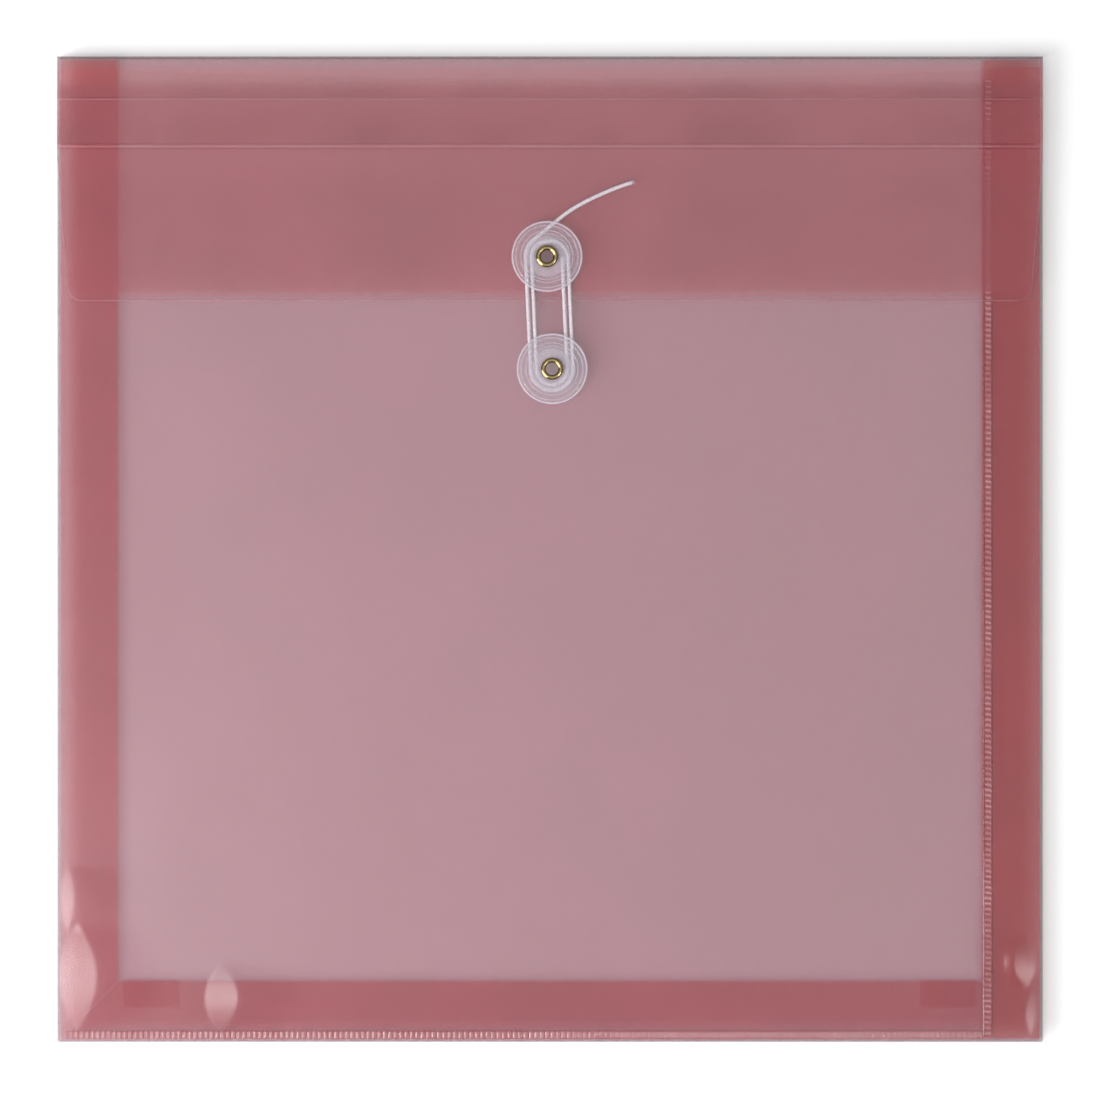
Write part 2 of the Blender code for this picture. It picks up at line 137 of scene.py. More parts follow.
# A weld's thickness between its ribs, as a share of its box
WELD_SQUEEZE = 0.6
# The bead of melted film along the right weld, in from the weld's left edge
BEAD_INSET = 0.3 * MM
BEAD_RADIUS = 0.45 * MM
VIEW_CENTRE_Y = -0.17 * MM

# Buttons, up from the boss's foot
BUTTON_BORE = 2.8 * MM
BOSS_RADIUS = 4.1 * MM
BOSS_FILLET = 0.3 * MM
DISC_UNDERSIDE = 1.7 * MM
DISC_THICKNESS = 0.8 * MM
# Ridges of the discs: distance in from the rim, width of the bell and height. The height also sets how
# strong each ridge's painted highlight ring is.
DISC_RIDGES = [(inset * MM, 0.25 * MM, 0.18 * MM) for inset in (1.6, 3.3, 4.3)]
# The rim's painted highlight ring, with the same three columns. It is drawn in the material only.
DISC_RIM_HIGHLIGHT = (0.45 * MM, 0.3 * MM, 0.35 * MM)
# The disc looks denser inside this radius, where it is thicker, than outside the next
DISC_DENSE = 6.2 * MM
DISC_THIN = 7.6 * MM
EYELET_BORE = 2.1 * MM
EYELET_WALL = 0.4 * MM
EYELET_FLANGE = 3.7 * MM
EYELET_FLANGE_HEIGHT = 0.5 * MM
EYELET_ROLL = 0.3 * MM

# String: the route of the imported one
STRING_LIFT = 1.0 * MM
STRING_TURNS = 2
INNER_TURN_RADIUS = 5.1 * MM
TURN_PITCH = 2.0 * MM
TAIL_LEAVES_DEG = 129
# The loose tail lying on the flap, in millimetres from the middle of the upper button
TAIL_ROUTE = [(2.6, 11.4), (7.5, 15.2), (13.1, 18.5), (19.3, 21.4), (24.2, 23.4), (28.5, 24.8)]
# Between points along the string
STRING_STEP = 0.2 * MM
# Strands that a braid has each way round, the length in which one goes once round, and points in a ring
BRAID_STRANDS = 4
BRAID_LAY = 5.0 * MM
BRAID_SIDES = 24
FRAY_FIBRES = 26
FRAY_RADIUS = 0.06 * MM
FRAY_ROOT = 0.5 * MM
FRAY_SEED = 7
UP = np.array([0.0, 0.0, 1.0])

# Buckles of the front sheet and of the turned strip: middle, half width, half length, tilt, and how far past
# its high side the film has fallen back
FRONT_BUCKLES = [
    ((-110 * MM, -150 * MM), 5.6 * MM, 11.5 * MM, 0.075, 22 * MM),
    ((-158 * MM, -143 * MM), 6.2 * MM, 18 * MM, 0.053, 22 * MM),
    ((-161.5 * MM, -117 * MM), 2.2 * MM, 11 * MM, 0.053, 22 * MM),
]
STRIP_BUCKLES = [
    ((159 * MM, -138 * MM), 3.8 * MM, 9 * MM, -0.088, 6 * MM),
    ((160.8 * MM, -155 * MM), 1.8 * MM, 8 * MM, -0.088, 6 * MM),
]
# Between stations across a buckle
BUCKLE_STEP = 0.7 * MM

# Drawing of the thin sheets: stations near an edge, and how much thinner the edge itself is
NEAR_EDGE = np.array([0.0, 0.1, 0.25, 0.6]) * MM
EDGE_ROUND = 0.3
# How faint a web looks where it stands away from the outer sheet beside its fold
STAND_OFF = 0.3
# How much more opaque a tuck looks than a sheet by itself
TUCK_DEPTH = 1.5
SHARP_DEG = 50
# Power of the right window as a share of the left one's
RIGHT_WINDOW = 0.7
# The paper lies a little lower than the case, so that the two never share a plane
FLOOR_LEVEL = -0.3 * MM
# Sides of the turned pieces, and of the cutter for the buttons' holes
TURNED_SIDES = 96
HOLE_SIDES = 48
HOLE_REACH = 4 * MM
PLASTIC_IOR = 1.49
# The grain of real frosting is about 0.05 mm, and is drawn larger so that it shows
GRAIN_SIZE = 0.6 * MM
# How much of the deep tint shows where one sheet clings to the next
CLING_DEPTH = 0.45


def linear(code):
    """An sRGB hex colour as linear red, green and blue with full alpha."""
    values = np.array([int(code[i : i + 2], 16) / 255 for i in (0, 2, 4)])
    values = np.where(values <= 0.04045, values / 12.92, ((values + 0.055) / 1.055) ** 2.4)
    return (*values.tolist(), 1.0)


def colour_property(name, description, code):
    return FloatVectorProperty(
        name=name, description=description, subtype="COLOR", size=4, min=0.0, max=1.0, default=linear(code)
    )


def number_property(name, description, value, unit="NONE"):
    return FloatProperty(name=name, description=description, default=value, min=0.0, unit=unit)


class CASE_PG_film(bpy.types.PropertyGroup):
    """Sizes and colours of the frosted sheet."""

    outer: colour_property("Outer sheets", "Tint under the frosting of the front and back", "A9526C")
    web: colour_property("Gussets", "Tint of the webs, lit through the outer sheets", "DA5A46")
    flap: colour_property("Flap", "Tint of the flap and its strips", "C34D5B")
    strip: colour_property("Turned strip", "Tint of the doubled margin", "BC343A")
    deep: colour_property("Film in contact", "Tint where sheets lie close on each other", "8A4048")
    whitened: colour_property("Whitened film", "Film stretched in a score line or weld", "E6B4BC")
    weld: colour_property("Weld", "Tint between the ribs of a weld", "A42C34")
    edge_on: colour_property("Film edge on", "Greyed tint of a fold that is seen edge on", "8A7480")
    opacity: number_property("Opacity", "Opacity of each side of a sheet", 0.242)
    roughness: number_property("Roughness", "Roughness of the frosted side", 0.35)


class CASE_PG_closure(bpy.types.PropertyGroup):
    """Sizes and colours of the buttons and the string."""

    disc: colour_property("Disc", "Colour of the clear discs", "E3DCE8")
    brass: colour_property("Brass", "Colour of the eyelets", "A89468")
    cotton: colour_property("Cotton", "Colour of the string", "F2EAF0")
    # Painted shade: a darker colour that stands for the gaps between the strands
    cotton_painted_shade: colour_property("Cotton shade", "Colour between its strands", "C6B6C0")
    string_diameter: number_property("String", "Diameter of the string", 1.4 * MM, "LENGTH")


class CASE_PG_studio(bpy.types.PropertyGroup):
    """The floor and the light."""

    floor: colour_property("Floor", "Colour of the floor", "FDFDFD")
    camera_height: number_property("Camera height", "Height of the camera over the case", 2.05, "LENGTH")
    frame_width: number_property("View width", "Width of the view at the case", 0.3682, "LENGTH")
    floor_reach: number_property("Floor", "Half the floor's width", 2.0, "LENGTH")
    floor_lift: number_property("Floor lift", "White added to the paper as it is seen", 0.2)
    world_light: number_property("Ambient light", "Strength of the world", 0.30)
    top_light: number_property("Top light", "Power of the softbox above", 11.0, "POWER")
    left_light: number_property("Left light", "Power of the softbox at the left", 17.5, "POWER")
    window_light: number_property("Windows", "Power of the left window", 5.2, "POWER")


# Meshes


def stations(low, high, step, near=NEAR_EDGE):
    """Places from low to high: the near-edge offsets at both ends, and even steps of about step between."""
    inner_low = low + near[-1]
    inner_high = high - near[-1]
    count = max(2, round((inner_high - inner_low) / step)) + 1
    return np.concatenate([low + near[:-1], np.linspace(inner_low, inner_high, count), high - near[-2::-1]])


def surface_normals(points):
    """Unit normals of a grid of points: the cross product of its slopes along columns and along rows."""
    across = np.gradient(points, axis=1)
    along = np.gradient(points, axis=0)
    normal = np.cross(across, along)
    return normal / np.linalg.norm(normal, axis=2, keepdims=True)


def quads(index):
    """Faces of a grid of vertex numbers, each going along its row first."""
    corners = [index[:-1, :-1], index[:-1, 1:], index[1:, 1:], index[1:, :-1]]
    return np.stack(corners, axis=-1).reshape(-1, 4)


def add_object(name, data):
    """A linked object from a mesh, lamp or camera."""
    obj = bpy.data.objects.new(name, data)
    bpy.context.scene.collection.objects.link(obj)
    return obj


def mesh_object(name, points, faces, material):
    """An object at the origin from arrays of points and of faces, shaded smooth up to its sharp edges."""
    mesh = bpy.data.meshes.new(name)
    mesh.from_pydata(points.tolist(), [], [list(face) for face in faces])
    mesh.shade_smooth()
    mesh.set_sharp_from_angle(angle=math.radians(SHARP_DEG))
    mesh.materials.append(material)
    return add_object(name, mesh)


def thick_sheet(name, middle, thickness, material):
    """A closed sheet round a grid of middle points.

    Each side is the middle moved by half the thickness along the surface's normal. On the outermost rows
    and columns that half is EDGE_ROUND as large, which rounds the cut edge. Quads round the border close it.
    """
    rows, columns = middle.shape[:2]
    count = rows * columns
    half = np.full((rows, columns, 1), thickness / 2)
    half[[0, -1]] *= EDGE_ROUND
    half[:, [0, -1]] *= EDGE_ROUND
    offset = surface_normals(middle) * half
    points = np.concatenate([(middle + offset).reshape(-1, 3), (middle - offset).reshape(-1, 3)])
    index = np.arange(count).reshape(rows, columns)
    border = np.concatenate([index[0], index[1:, -1], index[-1, -2::-1], index[-2:0:-1, 0]])
    after = np.roll(border, -1)
    rim = np.stack([after, border, border + count, after + count], axis=1)
    faces = np.concatenate([quads(index), quads(index)[:, ::-1] + count, rim])
    return mesh_object(name, points, faces, material)


def mark_crests(obj, crest):
    """Stores 0 to 1 for each point of a thick sheet's grid, the same on both its sides."""
    layer = obj.data.attributes.new("crest", "FLOAT", "POINT")
    layer.data.foreach_set("value", np.tile(crest.ravel(), 2))


def once_round(count):
    """Even angles once round, from 0."""
    return np.linspace(0.0, 2 * math.pi, count, endpoint=False)


def ripple(x, y, height, wave):
    """Unevenness of a slack sheet: the mean of three crossed sine waves of unlike lengths, times height."""
    turns = 2 * math.pi / wave
    first = np.sin(turns * (x + 0.3 * y))
    second = np.sin(turns * (0.7 * y - 0.4 * x) + 1.3)
    third = np.sin(turns * 0.6 * (0.8 * x + y) + 2.1)
    return height * (first + second + third) / 3


def smooth(value, low, high):
    """0 below low, 1 above high and t*t*(3 - 2t) between them."""
    t = np.clip((value - low) / (high - low), 0.0, 1.0)
    return t * t * (3 - 2 * t)


def rounded_half_width(y, half_width, bottom, radius):
    """Half the width of a sheet with round bottom corners.

    At a distance d over its bottom it is less by radius - sqrt(radius^2 - (radius - d)^2).
    """
    d = np.clip(y - bottom, 0.0, radius)
    return half_width - radius + np.sqrt(radius**2 - (radius - d) ** 2)


def stack(x, y, z):
    return np.stack([x, y, z], axis=-1)


# Materials


def add_node(tree, kind, inputs=None, output=0, **settings):
    """Adds one node with its settings and its inputs, values or sockets to link, and gives one output."""
    node = tree.nodes.new(kind)
    for key, value in settings.items():
        setattr(node, key, value)
    for key, value in (inputs or {}).items():
        if isinstance(value, bpy.types.NodeSocket):
            tree.links.new(value, node.inputs[key])
        else:
            node.inputs[key].default_value = value
    return node.outputs[output]


def new_material(name, **sockets):
    """A material, its node tree, its Principled shader with values by socket name, and coordinates."""
    material = bpy.data.materials.new(name)
    material.use_nodes = True
    tree = material.node_tree
    shader = tree.nodes["Principled BSDF"]
    for key, value in sockets.items():
        shader.inputs[key.replace("_", " ")].default_value = value
    coords = add_node(tree, "ShaderNodeTexCoord", output="Object")
    return material, tree, shader, coords


def patches(tree, coords, size, low, high, detail=2.0):
    """Soft uneven patches about size metres across, as a value that goes from low to high."""
    noise = add_node(
        tree, "ShaderNodeTexNoise", {"Vector": coords, "Scale": 1 / size, "Detail": detail, "Roughness": 0.5}
    )
    inputs = {"Value": noise, "From Min": 0.3, "From Max": 0.7, "To Min": low, "To Max": high}
    return add_node(tree, "ShaderNodeMapRange", inputs, interpolation_type="SMOOTHSTEP")


def ramped(tree, coords, level, ramps):
    """level times a smooth ramp for each (axis, start, end, low, high), from low at start to high at end."""
    axes = add_node(tree, "ShaderNodeSeparateXYZ", {0: coords}).node.outputs
    for axis, start, end, low, high in ramps:
        inputs = {"Value": axes[axis], "From Min": start, "From Max": end, "To Min": low, "To Max": high}
        ramp = add_node(tree, "ShaderNodeMapRange", inputs, interpolation_type="SMOOTHSTEP")
        level = add_node(tree, "ShaderNodeMath", {0: level, 1: ramp}, operation="MULTIPLY")
    return level


def glossy_film_material(name, roughness, opacity, gloss):
    """Polypropylene film. Its coat's IOR is raised, because the sheet's low opacity weakens the coat too."""
    return new_material(
        name,
        Roughness=roughness,
        Alpha=opacity,
        IOR=PLASTIC_IOR,
        Specular_IOR_Level=0.25,
        Coat_Weight=gloss,
        Coat_Roughness=0.2,
        Coat_IOR=1.7,
    )


def frosted_film(name, colour, gloss, ramps=(), cling=(), cling_opacity=0.0, edge=()):
    """Frosted polypropylene sheet: tinted in the mass, calendered glossy outside and finely grained inside.

    It lets most light through, so each side has a low opacity. ramps lower it where the sheet stands
    away from what lies behind it, and cling adds opacity and depth in patches, where it lies close on it.
    edge greys it where a fold is seen edge on. gloss is the weight of its glossy coat: 1 on the sheets that
    face outwards, less on those in contact.
    """
    film = bpy.context.scene.case_film
    material, tree, shader, coords = glossy_film_material(name, film.roughness, film.opacity, gloss)
    mottle = patches(tree, coords, 45 * MM, 0.0, 0.16)
    level = ramped(tree, coords, film.opacity, ramps)
    if cling:
        close = ramped(tree, coords, patches(tree, coords, 38 * MM, 0.15, 1.0, 3.0), cling)
        added = add_node(tree, "ShaderNodeMath", {0: close, 1: cling_opacity}, operation="MULTIPLY")
        level = add_node(tree, "ShaderNodeMath", {0: level, 1: added}, operation="ADD")
        depth = add_node(tree, "ShaderNodeMath", {0: close, 1: CLING_DEPTH}, operation="MULTIPLY")
        mottle = add_node(tree, "ShaderNodeMath", {0: mottle, 1: depth}, operation="ADD")
    inputs = {0: mottle, 6: colour, 7: film.deep}
    tint = add_node(tree, "ShaderNodeMix", inputs, output=2, data_type="RGBA")
    if edge:
        inputs = {0: ramped(tree, coords, 1.0, edge), 6: tint, 7: film.edge_on}
        tint = add_node(tree, "ShaderNodeMix", inputs, output=2, data_type="RGBA")
    tree.links.new(tint, shader.inputs["Base Color"])
    if ramps or cling:
        tree.links.new(level, shader.inputs["Alpha"])
    grain = patches(tree, coords, GRAIN_SIZE, 0.0, 1.0, 1.0)
    bump = add_node(tree, "ShaderNodeBump", {"Height": grain, "Strength": 0.12, "Distance": 0.02 * MM})
    tree.links.new(bump, shader.inputs["Normal"])
    return material


def folded_film():
    """Film seen edge on in a tight fold, where one looks through far more of it: deep and greyed."""
    film = bpy.context.scene.case_film
    sockets = {"Roughness": 0.3, "Alpha": 0.3, "IOR": PLASTIC_IOR}
    material, tree, shader, coords = new_material("folded_polypropylene", **sockets)
    uneven = patches(tree, coords, 30 * MM, 0.5, 1.0)
    inputs = {0: uneven, 6: film.deep, 7: film.edge_on}
    tint = add_node(tree, "ShaderNodeMix", inputs, output=2, data_type="RGBA")
    tree.links.new(tint, shader.inputs["Base Color"])
    return material


def whitened_film(name, colour, opacity, pale, attribute=None, ramps=()):
    """Film that was stretched by scoring or melted by welding: paler, more opaque and less smooth.

    pale is the share of white in it. With an attribute, it is palest where that is 1, on the crests of a
    weld or score line, and deep where it is 0. ramps lower the whiteness along an axis. On the melted bead
    the whiteness is partly the film's own and partly a painted highlight, strongest low down.
    """
    film = bpy.context.scene.case_film
    material, tree, shader, coords = glossy_film_material(name, 0.3, opacity, 1.0)
    factor = patches(tree, coords, 14 * MM, 0.5 * pale, pale, 3.0)
    factor = ramped(tree, coords, factor, ramps)
    if attribute:
        crest = add_node(tree, "ShaderNodeAttribute", output="Fac", attribute_name=attribute)
        factor = add_node(tree, "ShaderNodeMath", {0: factor, 1: crest}, operation="MULTIPLY")
    inputs = {0: factor, 6: colour, 7: film.whitened}
    tint = add_node(tree, "ShaderNodeMix", inputs, output=2, data_type="RGBA")
    tree.links.new(tint, shader.inputs["Base Color"])
    return material


# Sheets that don't bend


def panel_middle(xs, ys, z, dip=0.0, relief=None):
    """A panel with round bottom corners, whose top edge is lower by dip * (1 - (x/half width)^2).

    relief(x, y), if given, is added to its height z.
    """
    x, y = np.meshgrid(xs, ys)
    x = x * rounded_half_width(y, HALF_WIDTH, BOTTOM_Y, CORNER_RADIUS) / HALF_WIDTH
    share = (y - BOTTOM_Y) / (ys[-1] - BOTTOM_Y)
    y = BOTTOM_Y + share * (ys[-1] - dip * (1 - (x / HALF_WIDTH) ** 2) - BOTTOM_Y)
    level = np.full_like(x, z)
    if relief is not None:
        level = level + relief(x, y)
    return stack(x, y, level)


def finer(places, step, spans):
    """The places, with those inside each span (low, high) replaced by others a step apart."""
    for low, high in spans:
        outside = places[(places < low) | (places > high)]
        places = np.concatenate([outside, np.arange(low, high, step)])
    return np.sort(places)


def buckle(x, y, place, half_width, half_length, tilt, fall):
    """A buckle in the film: a lens shaped facet that rises evenly in the direction of tilt's sign.

    Its half width shrinks as 1 - v^2 along its length. Past its high side the film falls back as
    t*t*(3 - 2t) over the distance fall.
    """
    v = (y - place[1]) / half_length
    reach = half_width * np.clip(1 - v**2, 0.0, 1.0)
    u = (x - place[0]) * np.sign(tilt)
    rise = abs(tilt) * np.clip(u + reach, 0.0, 2 * reach)
    return rise * (1 - smooth(u - reach, 0.0, fall))


def buckles(x, y, places):
    """The sum of several buckles."""
    relief = np.zeros_like(x)
    for place in places:
        relief = relief + buckle(x, y, *place)
    return relief


def finer_near(xs, ys, places):
    """Stations BUCKLE_STEP apart across the buckles, and as they were elsewhere and at both ends."""
    for place, half_width, half_length, *_ in places:
        low, high = place[0] - half_width - 3 * MM, place[0] + half_width + 3 * MM
        xs = finer(xs, BUCKLE_STEP, [(max(low, xs[3]), min(high, xs[-4]))])
        low, high = place[1] - half_length - 1 * MM, place[1] + half_length + 1 * MM
        ys = finer(ys, BUCKLE_STEP, [(max(low, ys[3]), min(high, ys[-4]))])
    return xs, ys


def front_relief(x, y):
    """The front sheet bellies a little between its gussets, and has a few small buckles near its corners."""
    clear = HALF_WIDTH - GUSSET_DEPTH
    inside = smooth(clear - np.abs(x), 0.0, 25 * MM) * smooth(y - BOTTOM_Y - GUSSET_DEPTH, 0.0, 25 * MM)
    belly = ripple(x, y, 0.4 * MM, 120 * MM) * inside * smooth(MOUTH_Y - y, 0.0, 10 * MM)
    return belly + buckles(x, y, FRONT_BUCKLES)


def strip_middle(high, low):
    """A flat strip of the flap from low to high along Y, as wide as the case."""
    x, y = np.meshgrid(stations(-HALF_WIDTH, HALF_WIDTH, 5 * MM), stations(low, high, 3 * MM))
    return stack(x, y, np.full_like(x, FLAP_MIDDLE))


def flap_middle(z):
    """The flap: as wide as the case at its score line, and FLAP_TAPER narrower on each side at its lower
    edge, where its corners have the radius FLAP_CORNER."""
    low = FLAP_LOW[1]
    high = CREASE_TWO[1] - CREASE_TWO_WIDTH / 2
    near = np.array([0.0, 0.1, 0.25, 0.6, 1.2, 2.0, 3.0, 4.0]) * MM
    xs = stations(-1.0, 1.0, 5 * MM / HALF_WIDTH, NEAR_EDGE / HALF_WIDTH)
    x, y = np.meshgrid(xs, stations(low, high, 4 * MM, near))
    taper = FLAP_TAPER * (high - y) / (high - low)
    half_width = rounded_half_width(y, HALF_WIDTH, low, FLAP_CORNER) - taper
    x = x * half_width
    from_button = np.hypot(x, y - UPPER_BUTTON[1])
    free = smooth(high - y, 0.0, 8 * MM) * smooth(from_button, 12 * MM, 30 * MM)
    wave = ripple(x, y, 0.3 * MM, 80 * MM) - 0.1 * MM
    return stack(x, y, z + wave * free)


def flap_outline():
    """The flap's cut edge, from the left end of the lower score line round both corners to its right end."""
    edge = flap_middle(FLAP_MIDDLE)
    path = np.concatenate([edge[::-1, 0], edge[0, 1:-1], edge[:, -1]])
    path[:, 0] = np.clip(path[:, 0], CUT_EDGE_RADIUS - HALF_WIDTH, HALF_WIDTH - CUT_EDGE_RADIUS)
    return path


# Sheets that bend at a joint


def fold_middle(centre_y, centre_z, start_deg, end_deg):
    """A quarter round fold right across the case: an arc in the YZ plane, carried along X."""
    angles, x = np.meshgrid(
        np.radians(np.linspace(start_deg, end_deg, 9)), stations(-HALF_WIDTH, HALF_WIDTH, 8 * MM)
    )
    return stack(x, centre_y + FOLD_RADIUS * np.cos(angles), centre_z + FOLD_RADIUS * np.sin(angles))


def score_line(name, y, width, height, material):
    """A score line in the flap: a ridge whose height over the sheet is height * cos^2 across its width."""
    x, share = np.meshgrid(stations(-HALF_WIDTH, HALF_WIDTH, 6 * MM), np.linspace(-1.0, 1.0, 9))
    crown = np.cos(share * math.pi / 2) ** 2
    middle = stack(x, y + share * width / 2, FLAP_MIDDLE + height * crown)
    obj = thick_sheet(name, middle, SHEET, material)
    mark_crests(obj, crown**2)
    return obj


def arc(centre, radius, start_deg, end_deg, steps=8):
    """Points (depth, height) along an arc about a centre."""
    angles = np.radians(np.linspace(start_deg, end_deg, steps + 1))
    return np.stack([centre[0] + radius * np.cos(angles), centre[1] + radius * np.sin(angles)], axis=1)


def line(start, end, steps):
    shares = np.linspace(0.0, 1.0, steps + 1)[1:-1, None]
    return np.array(start) + shares * (np.array(end) - np.array(start))


def gusset_profile(front_join):
    """A gusset's section as (depth inward, height): a half round fold from the back sheet to the rear web,
    the web, the half round inner crease, the front web and the half round fold up to front_join."""
    outer_rear = (REAR_WEB_START - BACK_MIDDLE) / 2
    outer_front = (front_join - FRONT_WEB_START) / 2
    middle = (REAR_WEB_START + FRONT_WEB_START) / 2
    inner = SHEET / 2 + CREASE_GAP
    rear_centre = (outer_rear + SHEET / 2, BACK_MIDDLE + outer_rear)
    front_centre = (outer_front + SHEET / 2, FRONT_WEB_START + outer_front)
    crease_centre = (GUSSET_DEPTH - inner - SHEET / 2, middle)
    rear = arc(rear_centre, outer_rear, -90, -270)
    crease = arc(crease_centre, inner, -90, 90)
    front = arc(front_centre, outer_front, 270, 90)
    parts = [rear, line(rear[-1], crease[0], 8), crease, line(crease[-1], front[0], 8), front]
    return np.concatenate(parts)


def gusset_middle(side, front_join):
    """The gusset's profile carried along one side of the case, its ends cut at 45 degrees at the bottom."""
    profile = gusset_profile(front_join)
    depth = profile[:, 0]
    corner = BOTTOM_Y + MITRE_SET_BACK + depth
    if side == "bottom":
        shares = stations(0.0, 1.0, 6 * MM / (2 * HALF_WIDTH), NEAR_EDGE / (2 * HALF_WIDTH))[:, None]
        reach = HALF_WIDTH - MITRE_SET_BACK - depth
        x = -reach + shares * 2 * reach
        y = np.broadcast_to(BOTTOM_Y + depth, x.shape)
    else:
        top = TOP_Y - SHEET - GUSSET_TOP_GAP
        shares = stations(0.0, 1.0, 6 * MM / (top - BOTTOM_Y), NEAR_EDGE / (top - BOTTOM_Y))[:, None]
        y = corner + shares * (top - corner)
        x = np.broadcast_to((HALF_WIDTH - depth) * (1 if side == "right" else -1), y.shape)
    z = np.broadcast_to(profile[:, 1], x.shape)
    return stack(x, y, z)


# Welds


def weld_surface(name, low, high, along_axis, tooth, material):
    """A welded strip: a flat underside, and a top raised by tooth(across, along) over the strip."""
    across_axis = 1 - along_axis
    along = stations(low[along_axis], high[along_axis], WELD_PITCH / 6)
    across = stations(low[across_axis], high[across_axis], 0.2 * MM, NEAR_EDGE[:3])
    place = np.meshgrid(across, along) if along_axis == 1 else np.meshgrid(along, across)
    share = (place[across_axis] - low[across_axis]) / (high[across_axis] - low[across_axis])
    height = tooth(share, place[along_axis] - low[along_axis])
    middle = stack(*place, (low[2] + high[2]) / 2 + height)
    obj = thick_sheet(name, middle, (high[2] - low[2]) * WELD_SQUEEZE, material)
    mark_crests(obj, (height - height.min()) / (height.max() - height.min()))
    return obj


def side_teeth(share, run):
    """Ribs that slant across the weld: half of 1 + cos(phase), faded to 0 at both of its edges."""
    phase = 2 * math.pi * run / WELD_PITCH + 1.2 * share
    row = smooth(share, 0.2, 0.3) * (1 - smooth(share, 0.85, 0.97))
    return (row * (0.5 + 0.5 * np.cos(phase)) - 0.5) * 0.08 * MM


def bottom_teeth(share, run):
    """Upright ribs across the weld: cos(phase), faded to 0 at both of its edges."""
    phase = 2 * math.pi * run / WELD_PITCH
    return (smooth(share, 0.05, 0.2) * (1 - smooth(share, 0.8, 0.95)) * np.cos(phase)) * 0.05 * MM


# Buttons


def turned(name, centre, profile, material):
    """A solid of revolution: a closed profile of (radius, height), carried round the centre."""
    angles = once_round(TURNED_SIDES)[:, None]
    radius = profile[:, 0]
    height = profile[:, 1]
    points = stack(
        centre[0] + radius * np.cos(angles),
        centre[1] + radius * np.sin(angles),
        np.broadcast_to(centre[2] + height, (TURNED_SIDES, len(height))),
    )
    index = np.arange(points.shape[0] * points.shape[1]).reshape(points.shape[:2])
    wrapped = np.concatenate([index, index[:1]], axis=0)
    wrapped = np.concatenate([wrapped, wrapped[:, :1]], axis=1)
    return mesh_object(name, points.reshape(-1, 3), quads(wrapped)[:, ::-1], material)


def disc_profile(radius):
    """A disc's section as (radius, height): bore, top with low ridges and a rolled rim, underside, boss.

    The top's height is the disc's plus, for each ridge, a bell exp(-((r - middle) / width)^2).
    """
    top = DISC_UNDERSIDE + DISC_THICKNESS
    r = np.linspace(BUTTON_BORE, radius - DISC_THICKNESS / 2, 110)
    height = np.full_like(r, top)
    for inset, width, rise in DISC_RIDGES:
        height = height + rise * np.exp(-(((r - radius + inset) / width) ** 2))
    half = DISC_THICKNESS / 2
    rim = arc((radius - half, DISC_UNDERSIDE + half), half, 80, -90, 9)
    fillet = arc((BOSS_RADIUS + BOSS_FILLET, DISC_UNDERSIDE - BOSS_FILLET), BOSS_FILLET, 90, 180, 4)
    foot = np.array([[BOSS_RADIUS, 0.1 * MM], [BOSS_RADIUS - 0.1 * MM, 0.0], [BUTTON_BORE, 0.0]])
    return np.concatenate([np.stack([r, height], axis=1), rim, fillet, foot])


def eyelet_profile(low, high):
    """An eyelet's section: a half round flange on the disc, the barrel, and a flat roll behind the sheet."""
    middle = (EYELET_BORE + EYELET_FLANGE) / 2
    half = (EYELET_FLANGE - EYELET_BORE) / 2
    seat = high - low - EYELET_FLANGE_HEIGHT
    angles = np.radians(np.linspace(180, -20, 21))
    flange = np.stack([middle + half * np.cos(angles), seat + EYELET_FLANGE_HEIGHT * np.sin(angles)], axis=1)
    outer = EYELET_BORE + EYELET_WALL
    roll = arc((EYELET_FLANGE - EYELET_ROLL, EYELET_ROLL / 2), EYELET_ROLL / 2, 90, -90, 6)
    barrel = np.array([[outer, seat], [outer, EYELET_ROLL]])
    return np.concatenate([flange, barrel, roll, [[EYELET_BORE, 0.0]]])


def clear_moulding_with_painted_rings(name, centre):
    """Clear moulded plastic with flow marks round the gate. Its rim and ridges are drawn as whiter, more
    opaque rings: a painted highlight.
    """
    closure = bpy.context.scene.case_closure
    material, tree, shader, coords = new_material(name, Roughness=0.08, IOR=PLASTIC_IOR)
    shader.inputs["Base Color"].default_value = closure.disc
    offset = add_node(tree, "ShaderNodeVectorMath", {0: coords, 1: tuple(centre)}, operation="SUBTRACT")
    flat = add_node(tree, "ShaderNodeVectorMath", {0: offset, 1: (1.0, 1.0, 0.0)}, operation="MULTIPLY")
    radius = add_node(tree, "ShaderNodeVectorMath", {0: flat}, output="Value", operation="LENGTH")
    inputs = {"Value": radius, "From Min": DISC_DENSE, "From Max": DISC_THIN, "To Min": 0.3, "To Max": 0.13}
    level = add_node(tree, "ShaderNodeMapRange", inputs, interpolation_type="SMOOTHSTEP")
    # Each ridge and the rim add a whiter, more opaque ring to the plastic: painted highlight
    for inset, width, rise in DISC_RIDGES + [DISC_RIM_HIGHLIGHT]:
        away = add_node(tree, "ShaderNodeMath", {0: radius, 1: DISC_RADIUS - inset}, operation="SUBTRACT")
        away = add_node(tree, "ShaderNodeMath", {0: away}, operation="ABSOLUTE")
        inputs = {"Value": away, "From Min": 0.3 * width, "From Max": 1.4 * width, "To Max": 0.0}
        inputs["To Min"] = rise / MM
        ring = add_node(tree, "ShaderNodeMapRange", inputs, interpolation_type="SMOOTHSTEP")
        level = add_node(tree, "ShaderNodeMath", {0: level, 1: ring}, operation="ADD")
    streaks = patches(tree, coords, 1.5 * MM, 0.93, 1.07, 3.0)
    level = add_node(tree, "ShaderNodeMath", {0: level, 1: streaks}, operation="MULTIPLY")
    tree.links.new(level, shader.inputs["Alpha"])
    return material


